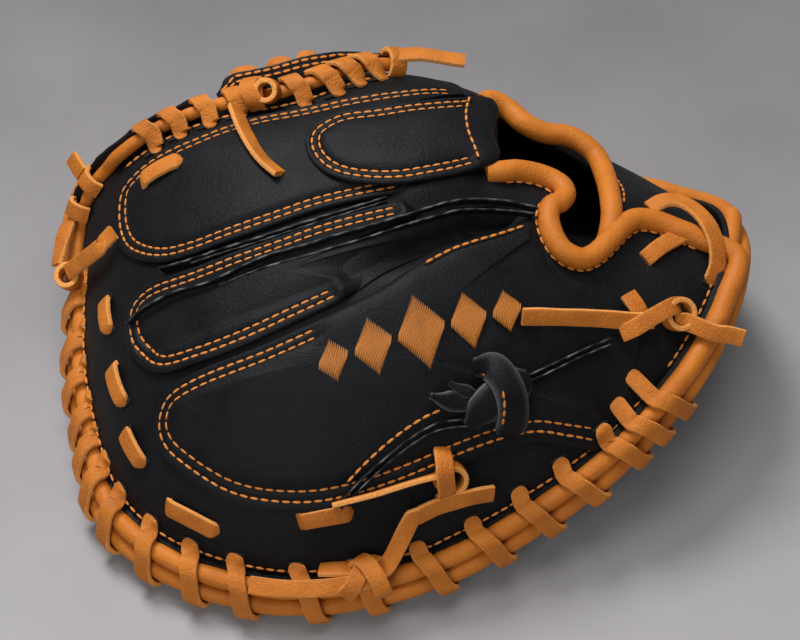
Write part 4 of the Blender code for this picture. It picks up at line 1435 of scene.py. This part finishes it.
# %% Trim the raw seams
UPPER_WELT = ((-35.6, -1.0), (-31.0, -1.5), (-24.1, -1.1), (-18.5, -0.2), (-12.9, 1.2),
              (-8.0, 2.7), (-3.6, 4.2))
NEAR_CUT = ((-10.0, -32.4), (-7.3, -30.4), (-3.3, -27.7), (0.8, -25.2), (3.6, -23.9),
            (7.6, -22.9))
FAR_CUT = ((14.6, -17.8), (18.3, -16.0), (21.1, -14.5), (24.0, -12.9), (27.6, -11.1))


def raw_section(width, height, seed):
    """A cut edge whose height, width, line and paleness all waver on their own."""
    def section(distance, whole, point):
        tall, broad, bent, worn = (
            noise.noise(Vector((distance * pace, seed, row)))
            for pace, row in ((420.0, 0.0), (300.0, 4.0), (260.0, 9.0), (190.0, 2.0)))
        b = 0.5 * height * (1.0 + 0.22 * tall)
        a = 0.5 * width * (1.0 + 0.25 * broad)
        shift = 0.00022 * bent
        pale = min(max(0.55 + 1.6 * worn, 0.05), 1.0)
        side = [(a, -0.5 * height, 0.0), (a, 0.4 * b, 0.0), (0.9 * a, 0.85 * b, 0.5 * pale),
                (0.45 * a, b, pale)]
        ring = side + [(-x, y, raw) for x, y, raw in reversed(side)]
        return [(x + shift, y, raw) for x, y, raw in ring]
    return section


def raw_strip(line, lift, width, height, seed, shift=0.0):
    rows = back_rows(*[(u, v + shift, lift) for u, v in line])
    return skin(smooth_rows(rows, LACE_STEP), raw_section(width, height, seed))


def make_raw_seams():
    upper = joined([raw_strip(UPPER_WELT, 0.0022, 0.0010, 0.0044, 1.0),
                    raw_strip(UPPER_WELT[1:], 0.0016, 0.0008, 0.0036, 2.0, -0.45)])
    top = PANEL_GAP + 0.0032
    middle = joined([raw_strip(STRIP_EDGE, top, 0.0010, 0.0034, 3.0),
                     raw_strip(STRIP_UNDER, top - 0.0026, 0.0010, 0.0034, 4.0)])
    pairs = []
    for line in (NEAR_CUT, FAR_CUT):
        pairs += [raw_strip(line, PANEL_GAP + 0.0040, 0.0009, 0.0030, 5.0),
                  raw_strip(line, PANEL_GAP + 0.0038, 0.0009, 0.0030, 6.0, -0.70)]
    return [add_piece("seam_upper", upper, [BLACK_HIDE], ["seam_welt_upper"]),
            add_piece("seam_middle", middle, [BLACK_HIDE], ["seam_welt_middle"]),
            add_piece("seam_lower", joined(pairs), [BLACK_HIDE])]


seams = make_raw_seams()
print("raw seams:", [len(made.data.polygons) for made in seams])

# %% [markdown]
# ## The knots
#
# Loose ends of lace are knotted at seven places. A knot is a ring of lace, a band pulled over
# it, and tails that are cut off square. Each strip is laid by a few points, and the strips of
# one knot are joined into one piece. Two more laces cross behind the hand hole.

# %% Tie the knots
def panel_lie():
    return panel_top() + FIT_GAP + 0.5 * LACE_THICKNESS


RING_STEPS = 16


def ring_rows(spot, axis, radius):
    """Rows round a ring of lace that lies about an axis, its wide side along that axis."""
    axis = axis.normalized()
    first = (Vector((1.0, 0.0, 0.0)) - axis * axis.x).normalized()
    second = axis.cross(first)
    rows = []
    for k in range(RING_STEPS + 1):
        away = turned(first, second, 360.0 * k / RING_STEPS)
        rows.append((spot + away * radius, away))
    return rows


def roll_rows(place, *spots):
    """Rows on one of the rim's rolls, each by its degrees, its turn and its distance."""
    return [rim_row(degrees, place, turn, around) for degrees, turn, around in spots]


def knot(name, node, *strips):
    """One piece made of several strips, each a list of rows."""
    meshes = [lace_mesh(rows, 3.0 * count) for count, rows in enumerate(strips)]
    return add_piece(name, joined(meshes), [TAN_RAWHIDE], [node])


print("a knot's strips lie", round(1000 * panel_lie(), 1), "mm off the back")

# %% [markdown]
# ## The knot on the heel
#
# The lace comes across the lower panel, goes round a short band and a ring, and ends in a tail
# that hangs over the heel's roll. Behind it two laces cross: a straight one and a long arc.

# %% Tie the heel


def make_heel_knots():
    place = heel_roll_place()
    around = round_roll(WRIST_ROLL_DIAMETER)
    high = panel_lie()
    left = back_rows((14.8, -10.9, high + 0.001), (20.3, -10.0, high + 0.001),
                     (26.0, -9.1, high), (30.6, -8.5, high), (33.6, -7.9, high + 0.001),
                     lean=(0.0, -0.9, 0.0))
    stub = back_rows((30.2, -5.0, 0.0052), (31.4, -6.6, 0.0062), (32.6, -8.2, 0.0050))
    band = back_rows((29.3, -10.2, 0.0050), (30.6, -9.5, 0.0085), (32.6, -8.1, 0.0110),
                     (34.6, -6.8, 0.0112), (36.4, -5.6, 0.0095), (37.6, -5.0, 0.0050))
    axis = off_back(36.4, -6.0) + Vector((0.15, -0.35, 0.0))
    ring = ring_rows(on_back(37.4, -6.2, 0.0068), axis, 0.0058)
    tail = back_rows((36.8, -7.4, 0.0064), (38.4, -7.0, 0.0076), lean=(0.0, -0.6, 0.0))
    over, face = rim_row(-20.5, place, 72, around + 0.0016)
    face = (face + Vector((0.0, -0.8, 0.0))).normalized()
    for way in ((0.0, 0.0, 0.0), (0.0060, -0.0006, -0.0006), (0.0120, -0.0014, -0.0020)):
        tail.append((over + Vector(way), face))
    knot("tie_heel", "knot_heel", left, stub, band, ring, tail)


def make_heel_laces():
    straight = back_rows((33.6, 1.5, -0.0030), (34.1, 1.9, 0.0004), (34.9, 2.7, 0.0018),
                         (36.6, 4.3, 0.0018), (38.6, 5.8, 0.0026), (40.4, 7.2, 0.0030))
    way = straight[-1][0] - straight[0][0]
    slits.append((on_back(33.9, 1.8, 0.0003), off_back(33.9, 1.8), way))
    lay("heel_straight", straight, ["heel_lace_straight"], 30.0, (True, False))
    arc = back_rows((34.2, 9.2, 0.0050), (36.0, 10.2, 0.0082), (38.2, 10.2, 0.0096),
                    (40.4, 9.0, 0.0100), (42.2, 6.9, 0.0098), (43.4, 4.4, 0.0080),
                    (43.8, 2.2, 0.0050), (43.6, 0.6, 0.0016), (43.4, -0.2, -0.0004))
    slits.append((on_back(43.4, -0.1, 0.0003), off_back(43.4, -0.1), Vector((0.0, 1.0, 0.0))))
    lay("heel_arc", arc, ["heel_lace_arc"], 31.0, (False, True))


make_heel_knots()
make_heel_laces()
print("slits so far:", len(slits))

# %% [markdown]
# ## The knots on the near side
#
# The first knot sits at the lower panel's end, with a tail that lies along the panel. The other
# is the big one on the rim: two long tails leave it, one along the rolls and one over the back.

# %% Tie the near side
def make_near_knot():
    tail = back_rows((-11.1, -32.9, 0.0048), (-6.0, -31.7, 0.0050), (-1.8, -30.5, 0.0050),
                     (2.3, -29.2, 0.0058), (3.8, -28.8, 0.0052), lean=(0.0, 1.6, 0.0))
    band = back_rows((3.9, -26.6, 0.0024), (3.7, -27.3, 0.0082), (3.6, -28.2, 0.0108),
                     (3.8, -29.2, 0.0104), (4.2, -30.2, 0.0066), (4.3, -30.7, 0.0018))
    axis = off_back(5.0, -29.0) + Vector((0.1, -0.35, 0.0))
    ring = ring_rows(on_back(5.0, -29.0, 0.0040), axis, 0.0056)
    knot("tie_near", "knot_near", tail, band, ring)


def make_bottom_knot():
    place = upper_roll_place()
    roll_top = round_roll(ROLL_DIAMETER) + LACE_THICKNESS + FIT_GAP
    left = roll_rows(place, (-113.5, 62, roll_top), (-110, 62, roll_top), (-106, 62, roll_top),
                     (-102, 62, roll_top), (-98.5, 62, roll_top), (-95.5, 66, roll_top + 0.0012))
    right = roll_rows(place, (-96.5, 78, roll_top), (-92.5, 84, roll_top + 0.001))
    right += back_rows((-0.6, -33.0, 0.0062), (2.4, -31.7, 0.0062), (5.4, -30.6, 0.0062),
                       (8.4, -29.6, 0.0060), (10.8, -28.9, 0.0056), lean=(0.0, -0.45, 0.0))
    band = roll_rows(place, (-97.6, 128, 0.0080), (-96.6, 110, 0.0125), (-95.4, 88, 0.0142),
                     (-94.4, 62, 0.0138), (-93.9, 36, 0.0118), (-93.8, 12, 0.0080))
    cross = roll_rows(place, (-99.8, 34, 0.0086), (-98.6, 52, 0.0108), (-97.2, 76, 0.0116),
                      (-95.4, 104, 0.0108), (-93.6, 124, 0.0098))
    stub = roll_rows(place, (-98.2, 104, 0.0092), (-101.0, 106, 0.0100), (-103.2, 112, 0.0096))
    knot("tie_bottom", "knot_bottom", left, right, band, cross, stub)


make_near_knot()
make_bottom_knot()

# %% [markdown]
# ## The knots at the fingertips and on the crest
#
# At the left two knots hold the lace where the roll climbs to the crest. Two more sit on the
# crest's roll, one with a tail over the upper panel and one with a tail that sticks out.

# %% Tie the fingertips and the crest
def make_left_knots():
    place = upper_roll_place()
    band = round_roll(ROLL_DIAMETER)
    hoop = [corner_row(1, turn, band + 0.0006) for turn in (-10, 15, 40, 65, 90, 115, 145)]
    tail = [corner_row(1, 150, band)]
    tail += roll_rows(place, (169.2, 66, band + 0.0010), (171.0, 52, band + 0.0020),
                      (172.9, 42, band + 0.0036), (174.8, 34, band + 0.0052))
    second = [corner_row(3, turn, band + 0.0004) for turn in (-10, 20, 50, 80, 110, 140)]
    stub = [corner_row(3, turn, band + out)
            for turn, out in ((96, 0.0012), (118, 0.0052), (128, 0.0096))]
    knot("tie_left_upper", "knot_left_upper", hoop, tail, second, stub)
    outer = [rim_row(177.2, place, turn, band + 0.0008) for turn in (128, 104, 80, 56, 32, 8)]
    centre = rim_row(177.8, place, 62, band + 0.0046)[0]
    ring = ring_rows(centre, Vector((-0.25, -0.5, 1.0)), 0.0046)
    tail = [(centre + Vector((0.0, 0.0, 0.0030)), Vector((0.0, -0.6, 1.0)).normalized())]
    tail += back_rows((-44.7, 7.8, 0.0070), (-43.8, 8.5, 0.0062), (-42.7, 9.2, 0.0058),
                      lean=(0.0, -0.4, 0.0))
    knot("tie_left_lower", "knot_left_lower", outer, ring, tail)


TOP_KNOT_PLACE = 98.0


def make_crest_knots():
    around = round_roll(CREST_SLIM * ROLL_DIAMETER) + LACE_SLACK
    spot, along, off, near = crest_frame(CREST_KNOT_PLACE)
    hoop = [crest_row(CREST_KNOT_PLACE - 1.5, turn, around + 0.0010)
            for turn in (172, 140, 110, 80, 50, 22, 0)]
    centre = spot + near * 0.0052 + off * 0.0044 + along * 0.0034
    ring = ring_rows(centre, off * 0.8 + near * 1.2, 0.0042)
    over = [crest_row(CREST_KNOT_PLACE - before, turn, around + out) for before, turn, out in (
        (2.6, 100, 0.0022), (2.4, 55, 0.0040), (2.0, 20, 0.0042), (1.6, -12, 0.0020))]
    tail = back_rows((-25.4, 22.2, 0.0078), (-24.9, 20.6, 0.0086), (-24.0, 18.0, 0.0076),
                     (-22.6, 14.9, 0.0066), (-20.8, 11.8, 0.0062), (-18.4, 8.9, 0.0062),
                     lean=(1.1, 0.0, 0.0))
    knot("tie_web", "knot_web", hoop, ring, over, tail)
    spot, along, off, near = crest_frame(TOP_KNOT_PLACE)
    hoop = [crest_row(TOP_KNOT_PLACE, turn, around + 0.0008) for turn in range(-60, 240, 30)]
    face = (near * 0.9 + off).normalized()
    tail = [(spot + near * 0.0044 + off * 0.0040, face)]
    for out, high in ((0.009, 0.0044), (0.016, 0.0036), (0.023, 0.0024), (0.029, 0.0016)):
        tail.append((spot + near * 0.0036 + off * high + Vector((out, 0.0, 0.0)), face))
    knot("tie_top", "knot_top", hoop, tail)


make_left_knots()
make_crest_knots()
slit_shades = make_slit_shades()

# %% [markdown]
# ## The wrist strap's knot
#
# On the heel a black leather strap is knotted through two slits. It is thicker than lace, its
# edges are cut raw, and a row of thread runs over the upper turn. Four strips make it: two turns
# of the knot and two loose tips.

# %% Tie the strap
STRAP_WIDTH = 0.014
STRAP_THICKNESS = 0.0028


STRAP_STEP = 0.0009
# Each strip's width, its share of that width at the ends, and its spots with their lift
STRAP_STRIPS = (
    (STRAP_WIDTH, 0.45, (
        (7.6, -23.4, 0.0), (8.6, -21.9, 0.0050), (10.0, -20.4, 0.0078), (11.6, -19.4, 0.0074),
        (13.6, -18.6, 0.0040), (15.6, -17.6, 0.0))),
    (0.0125, 0.6, (
        (8.4, -17.4, 0.0010), (10.0, -17.2, 0.0074), (11.6, -18.4, 0.0104),
        (12.6, -20.2, 0.0098), (13.0, -22.2, 0.0050), (12.8, -23.4, -0.001))),
    (0.0085, 0.3, (
        (1.8, -21.4, 0.0044), (3.6, -21.6, 0.0034), (5.8, -21.4, 0.0030), (8.0, -20.8, 0.0046))),
    (0.0070, 0.3, (
        (4.4, -19.8, 0.0030), (6.0, -20.2, 0.0040), (7.8, -20.4, 0.0050))),
)


def strap_section(width, narrow):
    """A strap's bowed section, which narrows towards both ends of the strip."""
    b = 0.5 * STRAP_THICKNESS
    bow = 0.35 * STRAP_THICKNESS

    def section(distance, whole, point):
        ends = ease(distance / 0.010), ease((whole - distance) / 0.008 + 0.25)
        a = 0.5 * width * (narrow + (1.0 - narrow) * ends[0] * ends[1])
        top = [(a, b - 0.3 * b, 1.0), (0.94 * a, b, 0.6), (0.5 * a, b + 0.7 * bow, 0.0),
               (0.0, b + bow, 0.0), (-0.5 * a, b + 0.7 * bow, 0.0), (-0.94 * a, b, 0.6),
               (-a, b - 0.3 * b, 1.0)]
        return top + [(-a, -b, 0.35), (-0.5 * a, -b, 0.0), (0.5 * a, -b, 0.0), (a, -b, 0.35)]
    return section


def strap_rows(spots):
    """Rows over the lower panel, each spot's lift counted from the panel's top."""
    return back_rows(*[(u, v, panel_top() + 0.0006 + lift) for u, v, lift in spots])


def make_strap():
    strips = [skin(smooth_rows(strap_rows(spots), STRAP_STEP), strap_section(width, narrow))
              for width, narrow, spots in STRAP_STRIPS]
    return add_piece("tie_strap", joined(strips), [BLACK_HIDE], ["strap_knot"])


strap = make_strap()
print("strap:", len(strap.data.polygons), "faces")

# %% [markdown]
# ## The threads
#
# Each stitch is a small ball pulled into a grain of rice, with a dark disc where the needle
# went in, painted shade in its hole. A seam is hundreds of them, so each keeps to a few dozen
# faces. These tools lay them evenly along any line of rows.

# %% Thread the needle
STITCH_LENGTH = 0.0035
STITCH_WIDTH = 0.00115
STITCH_HEIGHT = 0.0010
STITCH_SWAY = 0.00012
PUNCTURE_RADIUS = 0.00095
PUNCTURE_LIFT = 0.00016


def stitch(mesh, start, end, up, width, height):
    """A grain of thread from start to end."""
    along = (end - start) * 0.5
    side = along.cross(up).normalized() * (0.5 * width)
    rise = side.cross(along).normalized() * (0.5 * height)
    placed = placing(rise, side, along, (start + end) * 0.5)
    bmesh.ops.create_uvsphere(mesh, u_segments=6, v_segments=6, radius=1.0, matrix=placed)


def painted_hole_shade(mesh, spot, along, up):
    """A flat dark disc where the needle went in: painted shade in its hole."""
    side = along.cross(up).normalized()
    along = up.cross(side).normalized()
    placed = placing(along * 0.6, side, up, spot)
    ring = bmesh.ops.create_circle(mesh, cap_ends=True, segments=8, radius=PUNCTURE_RADIUS,
                                   matrix=placed)
    for face in {face for vert in ring["verts"] for face in vert.link_faces}:
        face.material_index = 1


def sew(name, lines):
    """One piece of thread work: lines are lists of rows along which the stitches lie."""
    mesh = bmesh.new()
    mesh.verts.layers.float.new("raw")
    count = 0
    for line in lines:
        rows = smooth_rows(line, STITCH_PITCH)
        for (start, first), (end, second) in zip(rows, rows[1:]):
            up = (first + second).normalized()
            along = (end - start).normalized()
            sway = along.cross(up).normalized() * STITCH_SWAY * noise.noise(start * 900.0)
            middle = (start + end) * 0.5 + up * 0.2 * STITCH_HEIGHT
            half = along * 0.5 * STITCH_LENGTH
            ends = middle - half + sway, middle + half - sway
            stitch(mesh, *ends, up, STITCH_WIDTH, STITCH_HEIGHT)
            painted_hole_shade(mesh, start + up * PUNCTURE_LIFT, along, up)
            count += 1
    made = add_piece(name, mesh, [THREAD, HOLE_SHADE_FINISH])
    print(name, count, "stitches")
    return made


print("a stitch is", 1000 * STITCH_LENGTH, "mm long")

# %% [markdown]
# ## The panels' threads
#
# Two rows run round each panel in its channels, and stop where the outline is folded or faded.
# Three single rows cross the leather: along the fold, along the near cut and across the tab.

# %% Sew the panels
CHANNEL_RISE = 0.0014
SEWN_STYLE = 0.30
SHORTEST_ROW = 6
# Single rows: the lift over the panel's base, and the points that they pass
FOLD_ROW = (0.0040, ((1.6, -5.6), (5.2, -3.4), (8.6, -1.8), (12.1, -0.2), (15.4, 1.6)))
CUT_ROW = (0.0046, ((-9.2, -30.8), (-6.6, -28.8), (-3.0, -26.3), (1.0, -23.9), (3.6, -22.7)))
TAB_ROW = (0.0044, ((7.4, 22.9), (6.9, 19.6), (7.2, 15.9), (8.2, 12.6), (8.8, 10.2)))


def channel_lines(points, depth, place, base, unit, spacing):
    """The stitched stretches of one of a panel's channels."""
    corners = inward(outline_of(points, spacing), depth / unit)
    count = len(corners)
    loose = [i for i, corner in enumerate(corners) if corner.z > SEWN_STYLE]
    if loose:
        order = [corners[(loose[0] + k) % count] for k in range(count)]
    else:
        order = corners + corners[:1]
    lines, line = [], []
    for corner in order:
        if corner.z > SEWN_STYLE:
            lines.append(line)
            line = []
        else:
            spot = place(corner.x, corner.y, base + CHANNEL_RISE)
            line.append((spot, facing(place, corner.x, corner.y)))
    lines.append(line)
    return [line[::2] + line[-1:] for line in lines if len(line) > SHORTEST_ROW]


def make_panel_threads():
    made = []
    for name, points, place, base, singles in (
        ("thread_upper", UPPER_PANEL, on_back, PANEL_GAP, ()),
        ("thread_middle", MIDDLE_PANEL, on_middle, PANEL_GAP, ()),
        ("thread_lower", LOWER_PANEL, on_back, PANEL_GAP, (FOLD_ROW, CUT_ROW)),
        ("thread_tab", TAB_PAD, on_back, panel_top(), (TAB_ROW,)),
        ("thread_web", WEB_PANEL, on_wall, PANEL_GAP, ()),
    ):
        unit, spacing = (WEB_UNIT, WEB_STEP) if points is WEB_PANEL else (UNIT, OUTLINE_STEP)
        lines = []
        for depth in STITCH_ROWS:
            lines += channel_lines(points, depth, place, base, unit, spacing)
        for lift, spots in singles:
            lines.append([(on_back(u, v, base + lift), off_back(u, v)) for u, v in spots])
        made.append(sew(name, lines))
    return made


panel_threads = make_panel_threads()
print("sewn panels:", len(panel_threads))

# %% [markdown]
# ## The threads beside the rolls
#
# Where a roll meets the leather, one row of stitches runs close beside it. Round the rim we step
# back from the roll until a stitch fits, and along the lips and the crest a fixed gap does.

# %% Sew beside the rolls, on the band and on the strap
ROW_RISE = 0.0004
ROW_CLEAR = 0.0036


def beside(line, gap, side):
    """Rows on the back beside a line of pattern points."""
    path = smooth_path([Vector((u, v, 0.0)) for u, v in line], 1.0)
    rows = []
    for before, here, after in zip(path[:1] + path[:-1], path, path[1:] + path[-1:]):
        along = (after - before).normalized()
        away = here + Vector((along.y, -along.x, 0.0)) * (side * gap / UNIT)
        u, v = away.x, away.y
        rows.append((on_back(u, v, ROW_RISE + swell(u, v) - fold(u, v)), off_back(u, v)))
    return rows


def beside_roll(degrees, place, diameter):
    """A row on the back just clear of a roll that lies along the rim."""
    angle = math.radians(degrees)
    edge, along, outward, upward = rim_frame(angle)
    centre = edge + outward * place[0] + upward * place[1]
    reach = 0.5 * diameter + ROW_CLEAR
    share = 0.999
    while share > 0.5 and (back(angle, share) - centre).length < reach:
        share -= 0.002
    normal = back_normal(angle, share)
    return back(angle, share) + normal * ROW_RISE, normal


def make_rim_threads():
    """A single row runs close beside every roll."""
    upper, heel = upper_roll_place(), heel_roll_place()
    lines = [[beside_roll(-33.0 - 2.0 * k, upper, ROLL_DIAMETER) for k in range(75)],
             [beside_roll(-5.0 - 2.2 * k, heel, WRIST_ROLL_DIAMETER) for k in range(12)],
             [beside_roll(6.0 + 2.0 * k, upper, ROLL_DIAMETER) for k in range(74)],
             beside(CREST, 0.5 * ROLL_DIAMETER + 0.0006, 1.0)]
    gap = 0.5 * WRIST_ROLL_DIAMETER - 0.0003
    lines.append(beside(NEAR_LIP + NEAR_LIP_TO_HEEL, gap, 1.0))
    lines.append(beside(FAR_LIP, gap + 0.002, -1.0))
    return sew("thread_rim", lines)


def make_strap_thread():
    return sew("thread_strap", [strap_rows((
        (8.6, -18.2, 0.0060), (10.2, -18.0, 0.0098), (11.0, -19.4, 0.0124),
        (11.3, -21.0, 0.0112), (11.4, -22.6, 0.0068)))])


BAND_ROWS = (0.0016, 0.0040)
BAND_FACE = 0.0013


def make_band_thread():
    lines = []
    for depth in BAND_ROWS:
        rows = []
        for place in range(BAND_PLACES[0] + 2, BAND_PLACES[1] - 1, 2):
            foot, along, lean, front = band_frame(place)
            rows.append((foot + lean * (band_top(place) - depth) + front * BAND_FACE, front))
        lines.append(rows)
    return sew("thread_band", lines)


rim_thread = make_rim_threads()
band_thread = make_band_thread()
strap_thread = make_strap_thread()
print("thread work:", [made.name for made in (rim_thread, band_thread, strap_thread)])

# %% [markdown]
# ## The embroidery
#
# The lower panel carries a band of satin stitch in the laces' tan. Five diamonds stand in a
# row, the middle one largest. In satin stitch the threads lie side by side right across the
# figure, so each diamond is a row of long grains of thread, each a little longer or shorter than
# the next.

# %% Embroider five diamonds
MOTIF_CENTRE = (1.0, -14.3)
MOTIF_WAY = (24.8, 8.3)
# Each diamond's place along the row, half its length and half its height
DIAMONDS = ((-0.0350, 0.0062, 0.0066), (-0.0192, 0.0078, 0.0092), (0.0, 0.0096, 0.0122),
            (0.0192, 0.0078, 0.0092), (0.0350, 0.0062, 0.0066))
SATIN_PITCH = 0.00058
SATIN_HEIGHT = 0.0016
SHORTEST_THREAD = 0.0012
SATIN = thread_finish("satin_thread", (0.640, 0.225, 0.034), 0.45)


def make_motif():
    way = Vector((*MOTIF_WAY, 0.0)).normalized()
    across = Vector((-way.y, way.x, 0.0))
    high = panel_top() + 0.0002
    mesh = bmesh.new()
    mesh.verts.layers.float.new("raw")
    count = 0
    for centre, half_length, half_height in DIAMONDS:
        threads = round(2.0 * half_length / SATIN_PITCH)
        for k in range(threads):
            place = (k + 0.5) / threads * 2.0 - 1.0
            reach = half_height * (1.0 - abs(place)) + 0.0006
            if reach < SHORTEST_THREAD:
                continue
            reach *= 1.0 + 0.03 * noise.noise(Vector((k * 3.7, centre * 900.0, 0.0)))
            ends = []
            for end in (-1.0, 1.0):
                along = centre + place * half_length + end * 0.0007
                spot = way * along + across * (end * reach)
                ends.append((MOTIF_CENTRE[0] + spot.x / UNIT, MOTIF_CENTRE[1] + spot.y / UNIT))
            start, end = (on_back(u, v, high) for u, v in ends)
            stitch(mesh, start, end, off_back(*ends[0]), 1.25 * SATIN_PITCH, SATIN_HEIGHT)
            count += 1
    print("embroidery:", count, "threads")
    return add_piece("embroidery", mesh, [SATIN])


motif = make_motif()

# %% [markdown]
# ## The studio
#
# The mitt lies on a plain pale floor. Its grey is painted darker away from the camera, as
# painted falloff of the light, and is mottled a little, as a paper backdrop is.

# %% Lay the floor
PAINTED_FALLOFF_NEAR, PAINTED_FALLOFF_FAR = -0.25, 0.30


def floor_finish_with_painted_falloff():
    """Pale grey, painted darker away from the camera as falloff of the light, with soft clouds."""
    made, shader, place = new_finish("studio_floor")
    apart = add_node(made, "SeparateXYZ", {"Vector": place})
    mottle = add_node(made, "TexNoise", {"Scale": 11.0, "Detail": 4.0, "Vector": place})
    # The grey darkens with distance from the camera: painted falloff of the light.
    depth = add_node(made, "MapRange", {
        "From Min": PAINTED_FALLOFF_NEAR, "From Max": PAINTED_FALLOFF_FAR, "To Min": 0.0, "To Max": 0.86,
        "Value": apart.outputs["Y"]})
    mixed = add_node(made, "Math", {0: mottle.outputs["Fac"], 1: 0.34, 2: depth.outputs["Result"]},
                     operation="MULTIPLY_ADD")
    shade = add_ramp(made, mixed.outputs["Value"],
                     (0.0, (0.450, 0.434, 0.445)), (1.0, (0.150, 0.143, 0.148)))
    set_inputs(shader, {"Base Color": shade, "Roughness": 0.9, "Specular IOR Level": 0.1})
    return made


FLOOR_SIZE = 3.0
floor_mesh = bmesh.new()
bmesh.ops.create_grid(floor_mesh, x_segments=8, y_segments=8, size=FLOOR_SIZE)
floor_data = bpy.data.meshes.new("studio_floor")
floor_mesh.to_mesh(floor_data)
floor_mesh.free()
floor_data.materials.append(floor_finish_with_painted_falloff())
floor = bpy.data.objects.new("studio_floor", floor_data)
bpy.context.scene.collection.objects.link(floor)
print("the floor is", 2.0 * FLOOR_SIZE, "m across")

# %% [markdown]
# ## The lights
#
# Three round lamps do it. The key stands high behind the mitt, the top lamp fills its crown, and
# a weak front lamp opens the shadows on the near rim. The world adds a little light all round.

# %% Light the mitt
AIM = Vector((0.0095, -0.0045, 0.045))
WORLD_LIGHT = 0.22


def add_light(name, place, size, power):
    data = bpy.data.lights.new(name, "AREA")
    data.shape = "DISK"
    data.size = size
    data.energy = power
    light = bpy.data.objects.new(name, data)
    light.location = place
    light.rotation_euler = (AIM - Vector(place)).to_track_quat("-Z", "Y").to_euler()
    bpy.context.scene.collection.objects.link(light)


add_light("key", (-0.45, 0.70, 1.40), 0.60, 22.0)
add_light("top", (0.0, 0.1, 1.7), 1.0, 10.0)
add_light("front", (-0.5, -1.4, 1.0), 0.9, 9.0)

world = bpy.data.worlds.new("studio")
world.use_nodes = True
set_inputs(world.node_tree.nodes["Background"],
           {"Color": (1.0, 1.0, 1.0, 1.0), "Strength": WORLD_LIGHT})
bpy.context.scene.world = world
bpy.context.scene.view_settings.view_transform = "Standard"
print("lights:", [light.name for light in bpy.data.lights])

# %% [markdown]
# ## The camera
#
# The camera looks down at the mitt from the near side with a long lens, as the photographer did,
# and a small shift frames it.

# %% Set the camera
CAMERA_ELEVATION = math.radians(52)
CAMERA_DISTANCE = 1.0
camera_data = bpy.data.cameras.new("camera")
camera_data.lens = 108.0
camera_data.sensor_width = 36.0
camera_data.shift_x = -0.015
camera_data.shift_y = 0.0025
camera = bpy.data.objects.new("camera", camera_data)
viewing_way = Vector((0.0, -math.cos(CAMERA_ELEVATION), math.sin(CAMERA_ELEVATION)))
camera.location = AIM + viewing_way * CAMERA_DISTANCE
camera.rotation_euler = (0.5 * math.pi - CAMERA_ELEVATION, 0.0, 0.0)
bpy.context.scene.collection.objects.link(camera)
bpy.context.scene.camera = camera
print("camera at", [round(number, 3) for number in camera.location])
